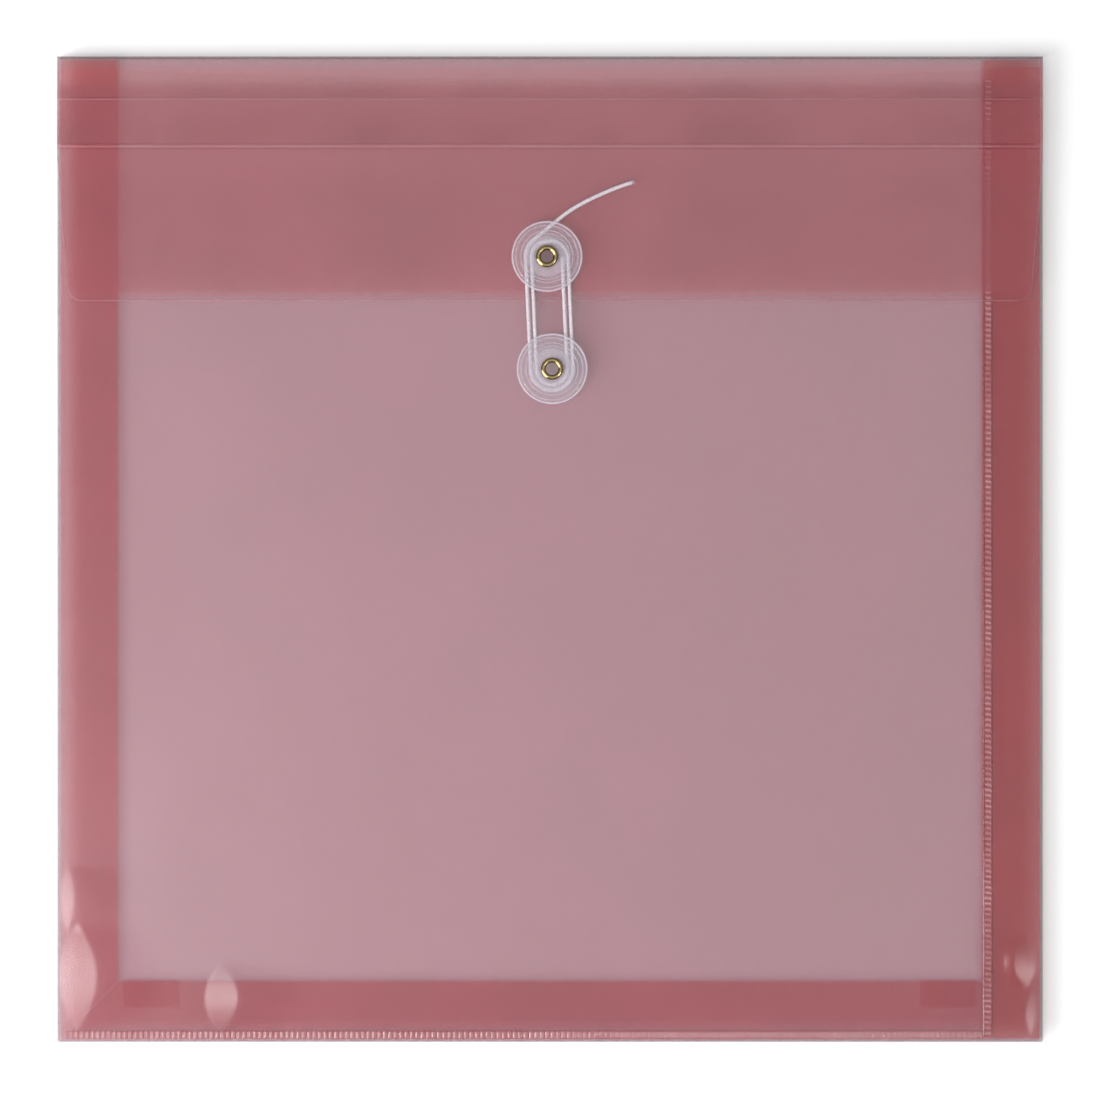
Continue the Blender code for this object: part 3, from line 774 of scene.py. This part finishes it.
def plated_brass():
    """Brass, rolled and plated bright: the pressing leaves it faintly uneven."""
    closure = bpy.context.scene.case_closure
    material, tree, shader, coords = new_material("plated_brass", Metallic=1.0)
    shader.inputs["Base Color"].default_value = closure.brass
    tree.links.new(patches(tree, coords, 0.8 * MM, 0.1, 0.2), shader.inputs["Roughness"])
    dents = patches(tree, coords, 1.6 * MM, 0.0, 1.0)
    bump = add_node(tree, "ShaderNodeBump", {"Height": dents, "Strength": 0.25, "Distance": 0.12 * MM})
    tree.links.new(bump, shader.inputs["Normal"])
    return material


# String


def half_turn(centre, start_radius, end_radius, start_deg, end_deg):
    """Points clockwise round a boss. The radius holds for the first half and then grows evenly."""
    share = np.linspace(0.0, 1.0, 41)
    angle = np.radians(start_deg + (end_deg - start_deg) * share)
    radius = start_radius + (end_radius - start_radius) * np.maximum(2 * share - 1, 0.0)
    return np.stack([centre[0] + radius * np.cos(angle), centre[1] + radius * np.sin(angle)], axis=1)


def smooth_curve(knots, steps):
    """A smooth curve from the second knot on: cubics whose slopes join each knot's neighbours."""
    last = np.concatenate([knots, knots[-1:]])
    parts = []
    share = np.linspace(0.0, 1.0, steps, endpoint=False)[:, None]
    for before, start, end, after in zip(last, last[1:], last[2:], last[3:]):
        slope_in = (end - before) / 2
        slope_out = (after - start) / 2
        parts.append(
            start * (2 * share**3 - 3 * share**2 + 1)
            + slope_in * (share**3 - 2 * share**2 + share)
            + end * (3 * share**2 - 2 * share**3)
            + slope_out * (share**3 - share**2)
        )
    return np.concatenate(parts + [knots[-1:]])


def string_route():
    """The string's path: twice down the right, round the lower boss, up the left and over the upper boss."""
    upper = UPPER_BUTTON[:2]
    lower = LOWER_BUTTON[:2]
    parts = []
    for turn in range(STRING_TURNS):
        radius = INNER_TURN_RADIUS + turn * TURN_PITCH
        reach = np.array([radius, 0.0])
        parts.append(np.linspace(upper + reach, lower + reach, 30, endpoint=False))
        parts.append(half_turn(lower, radius, radius, 0, -180)[:-1])
        parts.append(np.linspace(lower - reach, upper - reach, 30, endpoint=False))
        if turn < STRING_TURNS - 1:
            parts.append(half_turn(upper, radius, radius + TURN_PITCH, 180, 0)[:-1])
    leaving = half_turn(upper, radius, radius, 180, TAIL_LEAVES_DEG)
    parts.append(leaving[:-1])
    knots = np.concatenate([leaving[[len(leaving) // 2, -1]], upper + np.array(TAIL_ROUTE) * MM])
    parts.append(smooth_curve(knots, 12))
    flat = np.concatenate(parts)
    disc_edge = LOWER_BUTTON[1] + DISC_RADIUS
    share = smooth(flat[:, 1], disc_edge, FLAP_LOW[1])
    low = FRONT_HIGH[2] + STRING_LIFT
    high = FLAP_HIGH[2] + STRING_LIFT
    return np.column_stack([flat, low + (high - low) * share])


def even_path(points, step):
    """The same path with points a step apart, each then averaged with its neighbours."""
    run = np.concatenate([[0.0], np.cumsum(np.linalg.norm(np.diff(points, axis=0), axis=1))])
    places = np.linspace(0.0, run[-1], round(run[-1] / step) + 1)
    path = np.column_stack([np.interp(places, run, points[:, i]) for i in range(3)])
    kernel = np.hanning(9)[1:-1]
    padded = np.concatenate([np.repeat(path[:1], 3, axis=0), path, np.repeat(path[-1:], 3, axis=0)])
    soft = np.column_stack([np.convolve(padded[:, i], kernel / kernel.sum(), "valid") for i in range(3)])
    soft[[0, -1]] = path[[0, -1]]
    return soft


def tube(name, path, radius, material):
    """A closed tube along a path: rings of radius(run, angle) square to it, and a fan over each end."""
    step = np.gradient(path, axis=0)
    tangent = step / np.linalg.norm(step, axis=1, keepdims=True)
    side = np.cross(tangent, UP)
    side = side / np.linalg.norm(side, axis=1, keepdims=True)
    lift = np.cross(side, tangent)
    angle = once_round(radius.shape[1])
    ring = np.cos(angle)[None, :, None] * side[:, None] + np.sin(angle)[None, :, None] * lift[:, None]
    points = path[:, None] + radius[:, :, None] * ring
    index = np.arange(radius.size).reshape(radius.shape)
    wrapped = np.concatenate([index, index[:, :1]], axis=1)
    first = np.stack([wrapped[0, 1:], wrapped[0, :-1], np.full(len(angle), radius.size)], axis=1)
    last = np.stack([wrapped[-1, :-1], wrapped[-1, 1:], np.full(len(angle), radius.size + 1)], axis=1)
    every = np.concatenate([points.reshape(-1, 3), path[:1], path[-1:]])
    faces = quads(wrapped).tolist() + first.tolist() + last.tolist()
    return mesh_object(name, every, faces, material)


def round_edge(name, path, radius, material):
    """A thin plain tube along an edge, with flat ends."""
    return tube(name, path, np.full((len(path), 8), radius), material)


def braided_string(name, path, diameter, material):
    """A round braid along a path. Its radius swells where a strand passes on top: the strands are two sets
    of n helices, cos(na + ks) and cos(na - ks) for the angle a and the run s, and the higher one shows."""
    angle = once_round(BRAID_SIDES)
    step = np.linalg.norm(np.diff(path, axis=0), axis=1).mean()
    twist = 2 * math.pi * BRAID_STRANDS * step * np.arange(len(path))[:, None] / BRAID_LAY
    crown = np.maximum(np.cos(BRAID_STRANDS * angle + twist), np.cos(BRAID_STRANDS * angle - twist))
    radius = diameter / 2 * (0.9 + 0.1 * crown)
    radius[[0, -1]] *= 0.5
    return tube(name, path, radius, material)


def string_fray(name, path, diameter, material):
    """The cut end's loose fibres: thin three-sided hairs that fan out.

    A fibre's middle goes ahead by length * s and aside by length * spread * s^2, for s from 0 to 1.
    """
    random = np.random.default_rng(FRAY_SEED)
    draws = random.uniform([-1.0, -1.0, 0.7], [1.0, 1.0, 1.6], (FRAY_FIBRES, 3))
    sideways, upwards, length = draws.T[:, :, None, None]
    ahead = path[-1] - path[-6]
    ahead = ahead / np.linalg.norm(ahead)
    side = np.cross(ahead, UP)
    share = np.linspace(0.0, 1.0, 5)[:, None]
    root = path[-1] - ahead * FRAY_ROOT + (side * sideways + UP * upwards) * diameter * 0.3
    bend = side * sideways * 0.5 + UP * upwards * 0.3
    middle = root + length * MM * (ahead * share + bend * share**2)
    turn = once_round(3)[:, None]
    ring = side * np.cos(turn) + UP * np.sin(turn)
    points = middle[:, :, None] + (FRAY_RADIUS * (1 - 0.6 * share))[:, None] * ring
    index = np.arange(FRAY_FIBRES * 15).reshape(FRAY_FIBRES, 5, 3)
    after = np.roll(index, -1, axis=2)
    sides = np.stack([index[:, :-1], index[:, 1:], after[:, 1:], after[:, :-1]], axis=-1).reshape(-1, 4)
    faces = sides.tolist() + index[:, 0].tolist() + index[:, -1, ::-1].tolist()
    return mesh_object(name, points.reshape(-1, 3), faces, material)


def braided_cotton():
    """Bleached cotton, braided: matt and slightly fuzzy. Random fibre-sized patches of a darker colour stand
    for the gaps between its strands: painted shade.
    """
    closure = bpy.context.scene.case_closure
    material, tree, shader, coords = new_material("braided_cotton", Roughness=0.9, Sheen_Weight=0.3)
    # One fine noise gives both the fibres' bump and the patches of painted shade
    fibres = patches(tree, coords, 0.3 * MM, 0.0, 1.0)
    inputs = {0: fibres, 6: closure.cotton_painted_shade, 7: closure.cotton}
    shaded = add_node(tree, "ShaderNodeMix", inputs, output=2, data_type="RGBA")
    tree.links.new(shaded, shader.inputs["Base Color"])
    bump = add_node(tree, "ShaderNodeBump", {"Height": fibres, "Strength": 0.3, "Distance": 0.1 * MM})
    tree.links.new(bump, shader.inputs["Normal"])
    return material


def cut_hole(obj, centre):
    """Cuts the round hole that a button's eyelet passes through."""
    angles = once_round(HOLE_SIDES)
    ring = centre + BUTTON_BORE * stack(np.cos(angles), np.sin(angles), np.zeros(HOLE_SIDES))
    points = np.concatenate([ring - HOLE_REACH * UP, ring + HOLE_REACH * UP])
    number = np.arange(HOLE_SIDES)
    after = np.roll(number, -1)
    sides = np.stack([number, after, after + HOLE_SIDES, number + HOLE_SIDES], axis=1).tolist()
    ends = [number[::-1].tolist(), (number + HOLE_SIDES).tolist()]
    mesh = bpy.data.meshes.new("hole_cutter")
    mesh.from_pydata(points.tolist(), [], sides + ends)
    cutter = add_object("hole_cutter", mesh)
    cut = obj.modifiers.new("hole", "BOOLEAN")
    cut.operation = "DIFFERENCE"
    cut.object = cutter
    bpy.context.view_layer.update()
    evaluated = obj.evaluated_get(bpy.context.evaluated_depsgraph_get())
    result = bpy.data.meshes.new_from_object(evaluated)
    obj.modifiers.remove(cut)
    obj.data = result
    bpy.data.objects.remove(cutter)


# The operators


def dress(obj, body, slot, *nodes):
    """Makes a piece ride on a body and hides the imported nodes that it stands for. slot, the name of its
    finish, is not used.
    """
    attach(obj, body)
    if nodes:
        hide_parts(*nodes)


def dress_fold(obj, first, second, start, end, *nodes):
    """Bakes a piece of film's place into its mesh and hides the imported nodes that it stands for. first and
    second, the two bodies, are not used.
    """
    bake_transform(obj)
    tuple(start)
    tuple(end)
    if nodes:
        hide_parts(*nodes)


class CASE_OT_stage(bpy.types.Operator):
    """Floor, lamps, world and camera"""

    bl_idname = "case.stage"
    bl_label = "Stage"

    def execute(self, context):
        studio = context.scene.case_studio
        scene = context.scene
        scene.view_settings.view_transform = "Standard"
        # Up to six sheets lie on each other here, and each has two sides
        scene.cycles.transparent_max_bounces = 32

        data = bpy.data.cameras.new("camera")
        data.sensor_width = 36.0
        data.lens = data.sensor_width * studio.camera_height / studio.frame_width
        camera = add_object("camera", data)
        camera.location = (0.0, VIEW_CENTRE_Y, studio.camera_height + FRONT_MIDDLE)
        scene.camera = camera

        material, tree, shader, _ = new_material("floor_paper", Roughness=0.9)
        shader.inputs["Base Color"].default_value = studio.floor
        shader.inputs["Emission Color"].default_value = (1.0, 1.0, 1.0, 1.0)
        # The paper stays white to the camera and in reflections, with no more light on the case
        seen = add_node(tree, "ShaderNodeLightPath").node.outputs
        lift = seen["Is Camera Ray"]
        for ray in ("Is Glossy Ray", "Is Transmission Ray"):
            lift = add_node(tree, "ShaderNodeMath", {0: lift, 1: seen[ray]}, operation="MAXIMUM")
        lift = add_node(tree, "ShaderNodeMath", {0: lift, 1: studio.floor_lift}, operation="MULTIPLY")
        tree.links.new(lift, shader.inputs["Emission Strength"])
        reach = studio.floor_reach
        corners = np.array([(-1, -1, 0), (1, -1, 0), (1, 1, 0), (-1, 1, 0)]) * reach + FLOOR_LEVEL * UP
        mesh_object("floor", corners, [(0, 1, 2, 3)], material)

        world = bpy.data.worlds.new("studio")
        world.use_nodes = True
        # The ceiling is light and the walls are dim, which gives the metal its contrast
        tree = world.node_tree
        way = add_node(tree, "ShaderNodeTexCoord", output="Generated")
        background = tree.nodes["Background"]
        background.inputs["Color"].default_value = (1.0, 1.0, 1.0, 1.0)
        glow = ramped(tree, way, studio.world_light, [("Z", 0.25, 0.65, 0.15, 1.0)])
        tree.links.new(glow, background.inputs["Strength"])
        scene.world = world
        add_lamp("softbox_above", (0.0, 0.0, 2.8), 2.4, studio.top_light)
        add_lamp("softbox_left", (-0.9, -0.5, 0.9), 0.9, studio.left_light)
        add_lamp("window_left", (-0.58, -0.3, 2.3), 0.26, studio.window_light)
        add_lamp("window_right", (0.75, -0.45, 2.3), 0.26, studio.window_light * RIGHT_WINDOW)
        return {"FINISHED"}


def add_lamp(name, place, size, power):
    """A square soft lamp at a place, turned to the case."""
    data = bpy.data.lights.new(name, "AREA")
    data.size = size
    data.energy = power
    lamp = add_object(name, data)
    lamp.location = place
    lamp.rotation_euler = (-lamp.location).to_track_quat("-Z", "Y").to_euler()


class CASE_OT_back(bpy.types.Operator):
    """Back sheet, top wall with its two folds, and corner tucks"""

    bl_idname = "case.back"
    bl_label = "Back and top wall"

    def execute(self, context):
        sheets = context.scene.case_film
        film = frosted_film("frosted_polypropylene_back", sheets.outer, 0.1)
        edge = HALF_WIDTH - (REAR_WEB_START - BACK_MIDDLE) / 2 - SHEET / 2
        fold_y = WALL_HINGE[1] - FOLD_RADIUS
        middle = panel_middle(
            stations(-edge, edge, 5 * MM), stations(BOTTOM_Y + FOLD_RADIUS, fold_y, 5 * MM), BACK_MIDDLE
        )
        dress(thick_sheet("back_sheet", middle, SHEET, film), "back", "film", "back_panel")

        film = folded_film()
        low_z = WALL_HINGE[2] + FOLD_RADIUS
        high_z = FLAP_HINGE[2] - FOLD_RADIUS
        obj = thick_sheet("top_fold_rear", fold_middle(fold_y, low_z, -90, 0), SHEET, film)
        dress_fold(obj, "back", "top_wall", (0, fold_y, BACK_MIDDLE), (0, WALL_HINGE[1], low_z))
        obj = thick_sheet("top_fold_front", fold_middle(fold_y, high_z, 0, 90), SHEET, film)
        dress_fold(obj, "top_wall", "spine_upper", (0, WALL_HINGE[1], high_z), (0, fold_y, FLAP_MIDDLE))
        xs = stations(-HALF_WIDTH, HALF_WIDTH, 8 * MM)
        z, x = np.meshgrid(np.linspace(low_z, high_z, 9), xs)
        wall = stack(x, np.full_like(x, WALL_HINGE[1]), z)
        dress(thick_sheet("top_wall_sheet", wall, SHEET, film), "top_wall", "film", "top_wall")

        # The tucks press on the sheets around them, which makes them look more opaque
        for side in ("left", "right"):
            low, high = corner_points(side + "_corner_tuck")
            soft = 1.5 * MM
            ramps = [
                ("X", low[0], low[0] + soft, 0.0, TUCK_DEPTH),
                ("X", high[0] - soft, high[0], 1.0, 0.0),
                ("Y", low[1], low[1] + soft, 0.0, 1.0),
                ("Y", high[1] - soft, high[1], 1.0, 0.3),
            ]
            film = frosted_film("frosted_polypropylene_" + side + "_tuck", sheets.web, 0.0, ramps)
            x, y = np.meshgrid(stations(low[0], high[0], 2 * MM), stations(low[1], high[1], 2 * MM))
            middle = stack(x, y, np.full_like(x, (low[2] + high[2]) / 2))
            obj = thick_sheet(side + "_tuck_sheet", middle, SHEET, film)
            dress(obj, "back", "film", side + "_corner_tuck")
        return {"FINISHED"}


class CASE_OT_gussets(bpy.types.Operator):
    """The three gussets, each one folded sheet from the back to the front"""

    bl_idname = "case.gussets"
    bl_label = "Gussets"

    def execute(self, context):
        sheets = context.scene.case_film
        for side, axis, edge, inward, soft in (
            ("left", "X", -HALF_WIDTH, 1, 1.8 * MM),
            ("right", "X", HALF_WIDTH, -1, 2.5 * MM),
            ("bottom", "Y", BOTTOM_Y, 1, 1.6 * MM),
        ):
            front_join = STRIP_MIDDLE if side == "right" else FRONT_MIDDLE
            middle = gusset_middle(side, front_join)
            crease = edge + inward * GUSSET_DEPTH
            ramps = [
                (axis, edge + inward * 0.3 * MM, edge + inward * 0.7 * MM, 1.4 / STAND_OFF, 1.0),
                (axis, edge + inward * 0.7 * MM, edge + inward * 9 * MM, STAND_OFF, 1.0),
                (axis, crease - inward * soft, crease, 1.0, 0.1),
            ]
            grey = [(axis, edge + inward * 0.2 * MM, edge + inward * 2 * MM, 1.0, 0.0)]
            name = "frosted_polypropylene_" + side + "_gusset"
            film = frosted_film(name, sheets.web, 0.0, ramps, edge=grey)
            obj = thick_sheet(side + "_gusset", middle, SHEET, film)
            start, end = (0, 0, REAR_WEB_START), (0, 0, FRONT_WEB_START)
            dress_fold(obj, "back", "front", start, end, side + "_rear_web", side + "_front_web")
        return {"FINISHED"}


class CASE_OT_front(bpy.types.Operator):
    """Front sheet, turned strip and the two welds"""

    bl_idname = "case.front"
    bl_label = "Front"

    def execute(self, context):
        sheets = context.scene.case_film
        ramps = [("Y", MOUTH_Y - 9 * MM, MOUTH_Y - MOUTH_DIP + 0.5 * MM, 1.0, 0.08)]
        # A soft band about the turned strip's left edge is drawn darker and more opaque, in patches
        cling = [
            ("X", STRIP_LOW[0] - 7.5 * MM, STRIP_LOW[0], 0.0, 1.0),
            ("X", STRIP_LOW[0] + 2 * MM, STRIP_LOW[0] + 6 * MM, 1.0, 0.0),
        ]
        film = frosted_film("frosted_polypropylene_front", sheets.outer, 1.0, ramps, cling, 0.16)
        left_edge = (FRONT_MIDDLE - FRONT_WEB_START) / 2 + SHEET / 2
        right_edge = (STRIP_MIDDLE - FRONT_WEB_START) / 2 + SHEET / 2
        xs = stations(-HALF_WIDTH + left_edge, HALF_WIDTH - right_edge, 5 * MM)
        ys = stations(BOTTOM_Y + FOLD_RADIUS, MOUTH_Y, 5 * MM)
        xs, ys = finer_near(xs, ys, FRONT_BUCKLES)
        middle = panel_middle(xs, ys, FRONT_MIDDLE, MOUTH_DIP, front_relief)
        obj = thick_sheet("front_sheet", middle, SHEET, film)
        cut_hole(obj, LOWER_BUTTON)
        dress(obj, "front", "film", "front_panel")

        xs = stations(STRIP_LOW[0], HALF_WIDTH - right_edge, 3 * MM)
        ys = stations(STRIP_LOW[1], MOUTH_Y, 5 * MM)
        x, y = np.meshgrid(*finer_near(xs, ys, STRIP_BUCKLES))
        middle = stack(x, y, STRIP_MIDDLE + buckles(x, y, STRIP_BUCKLES))
        film = frosted_film("frosted_polypropylene_turned_strip", sheets.strip, 1.0)
        dress(thick_sheet("turned_strip_sheet", middle, SHEET, film), "front", "film", "turned_strip")

        weld = whitened_film("welded_polypropylene_margin", sheets.weld, 0.45, 0.85, "crest")
        obj = weld_surface("right_weld_seam", RIGHT_WELD_LOW, RIGHT_WELD_HIGH, 1, side_teeth, weld)
        dress(obj, "front", "welded_film", "right_weld")
        weld = whitened_film("welded_polypropylene_foot", sheets.weld, 0.4, 0.62, "crest")
        obj = weld_surface("bottom_weld_seam", BOTTOM_WELD_LOW, BOTTOM_WELD_HIGH, 0, bottom_teeth, weld)
        dress(obj, "front", "welded_film", "bottom_weld")

        # The bead is drawn whitened, most in its lower part and faintly above: partly the melted film's own
        # paleness, partly a painted highlight along the weld's edge
        ramps = [("Y", BOTTOM_Y + 45 * MM, BOTTOM_Y + 75 * MM, 1.0, 0.15)]
        bead = whitened_film("melted_polypropylene_bead_painted_highlight", sheets.strip, 0.3, 1.0, None, ramps)
        y = np.linspace(RIGHT_WELD_LOW[1] + 1 * MM, RIGHT_WELD_HIGH[1] - 1 * MM, 120)
        x = np.full_like(y, RIGHT_WELD_LOW[0] + BEAD_INSET)
        z = np.full_like(y, (RIGHT_WELD_LOW[2] + RIGHT_WELD_HIGH[2]) / 2)
        dress(round_edge("margin_bead", stack(x, y, z), BEAD_RADIUS, bead), "front", "film")
        return {"FINISHED"}


class CASE_OT_flap(bpy.types.Operator):
    """The flap's two strips, the flap and the score lines between them"""

    bl_idname = "case.flap"
    bl_label = "Flap"

    def execute(self, context):
        one_high = CREASE_ONE[1] + CREASE_ONE_WIDTH / 2
        one_low = CREASE_ONE[1] - CREASE_ONE_WIDTH / 2
        two_high = CREASE_TWO[1] + CREASE_TWO_WIDTH / 2
        two_low = CREASE_TWO[1] - CREASE_TWO_WIDTH / 2
        top = WALL_HINGE[1] - FOLD_RADIUS

        sheets = context.scene.case_film
        cling = [("Y", one_high, one_high + 9 * MM, 1.0, 0.0)]
        lip = [("Y", top - 5 * MM, top, 0.0, 0.6)]
        film = frosted_film("frosted_polypropylene_upper_strip", sheets.flap, 1.0, (), cling, 0.07, lip)
        obj = thick_sheet("upper_strip_sheet", strip_middle(top, one_high), SHEET, film)
        dress(obj, "spine_upper", "film", "upper_spine_strip")

        cling = [("Y", two_high, one_low, 1.0, 0.15)]
        film = frosted_film("frosted_polypropylene_lower_strip", sheets.flap, 1.0, (), cling, 0.12)
        obj = thick_sheet("lower_strip_sheet", strip_middle(one_low, two_high), SHEET, film)
        dress(obj, "spine_lower", "film", "lower_spine_strip")

        low = FLAP_LOW[1]
        side = HALF_WIDTH - FLAP_TAPER
        ramps = [
            ("Y", low, low + 4.5 * MM, 0.1, 1.0),
            ("X", -HALF_WIDTH, -side + 8 * MM, 0.2, 1.0),
            ("X", side - 3 * MM, HALF_WIDTH, 1.0, 0.6),
        ]
        cling = [
            ("Y", low, low + 12 * MM, 0.3, 1.0),
            ("Y", two_low - 22 * MM, two_low, 1.0, 0.1),
            ("X", 60 * MM, side - 12 * MM, 0.45, 1.0),
        ]
        film = frosted_film("frosted_polypropylene_flap", sheets.flap, 1.0, ramps, cling, 0.08)
        obj = thick_sheet("flap_sheet", flap_middle(FLAP_MIDDLE), SHEET, film)
        cut_hole(obj, UPPER_BUTTON)
        dress(obj, "flap", "film", "closing_flap")
        edge = whitened_film("die_cut_polypropylene_edge", sheets.flap, 0.3, 0.7)
        dress(round_edge("flap_cut_edge", flap_outline(), CUT_EDGE_RADIUS, edge), "flap", "film")

        score = whitened_film("scored_polypropylene", sheets.flap, sheets.opacity, 0.45, "crest")
        for name, crease, width, height, first, second in (
            ("upper_score_line", CREASE_ONE, CREASE_ONE_WIDTH, 0.05 * MM, "spine_upper", "spine_lower"),
            ("lower_score_line", CREASE_TWO, CREASE_TWO_WIDTH, 0.12 * MM, "spine_lower", "flap"),
        ):
            obj = score_line(name, crease[1], width, height, score)
            start = (0, crease[1] + width / 2, FLAP_MIDDLE)
            end = (0, crease[1] - width / 2, FLAP_MIDDLE)
            dress_fold(obj, first, second, start, end)
        return {"FINISHED"}


class CASE_OT_buttons(bpy.types.Operator):
    """The two clear buttons and their eyelets"""

    bl_idname = "case.buttons"
    bl_label = "Buttons"

    def execute(self, context):
        brass = plated_brass()
        buttons = (("upper_button", UPPER_BUTTON, "flap"), ("lower_button", LOWER_BUTTON, "front"))
        for name, place, body in buttons:
            clear = clear_moulding_with_painted_rings(name + "_clear_plastic_with_painted_rings", place)
            obj = turned(name + "_moulding", place, disc_profile(DISC_RADIUS), clear)
            dress(obj, body, "clear_disc", name + "_disc")
            low, high = corner_points(name + "_eyelet")
            foot = np.array([place[0], place[1], low[2]])
            obj = turned(name + "_brass_eyelet", foot, eyelet_profile(low[2], high[2]), brass)
            dress(obj, body, "eyelet", name + "_eyelet")
        return {"FINISHED"}


class CASE_OT_string(bpy.types.Operator):
    """The wound string and its frayed end"""

    bl_idname = "case.string"
    bl_label = "String"

    def execute(self, context):
        diameter = context.scene.case_closure.string_diameter
        cotton = braided_cotton()
        path = even_path(string_route(), STRING_STEP)
        string = braided_string("braided_string", path, diameter, cotton)
        dress(string, "flap", "string", "closing_string")
        fray = string_fray("string_fray", path, diameter, cotton)
        dress(fray, "flap", "string")
        return {"FINISHED"}


class CASE_PT_pieces(bpy.types.Panel):
    """Lists the groups of pieces in the 3D view's sidebar."""

    bl_idname = "CASE_PT_pieces"
    bl_label = "Document case"
    bl_space_type = "VIEW_3D"
    bl_region_type = "UI"
    bl_category = "Document case"

    def draw(self, context):
        for settings in (context.scene.case_film, context.scene.case_closure, context.scene.case_studio):
            box = self.layout.box()
            for name in settings.bl_rna.properties.keys():
                if name not in ("rna_type", "name"):
                    box.prop(settings, name)
        for kind in OPERATORS:
            self.layout.operator(kind.bl_idname)


SETTINGS = {"case_film": CASE_PG_film, "case_closure": CASE_PG_closure, "case_studio": CASE_PG_studio}
OPERATORS = (
    CASE_OT_stage,
    CASE_OT_string,
    CASE_OT_back,
    CASE_OT_gussets,
    CASE_OT_front,
    CASE_OT_flap,
    CASE_OT_buttons,
)


def register():
    for kind in (*SETTINGS.values(), *OPERATORS, CASE_PT_pieces):
        bpy.utils.register_class(kind)
    for name, kind in SETTINGS.items():
        setattr(bpy.types.Scene, name, PointerProperty(type=kind))


def unregister():
    for name in SETTINGS:
        delattr(bpy.types.Scene, name)
    for kind in (CASE_PT_pieces, *reversed(OPERATORS), *SETTINGS.values()):
        bpy.utils.unregister_class(kind)


def main():
    register()
    bpy.ops.case.stage()
    bpy.ops.case.string()
    bpy.ops.case.back()
    bpy.ops.case.gussets()
    bpy.ops.case.front()
    bpy.ops.case.flap()
    bpy.ops.case.buttons()


if __name__ == "__main__":
    main()
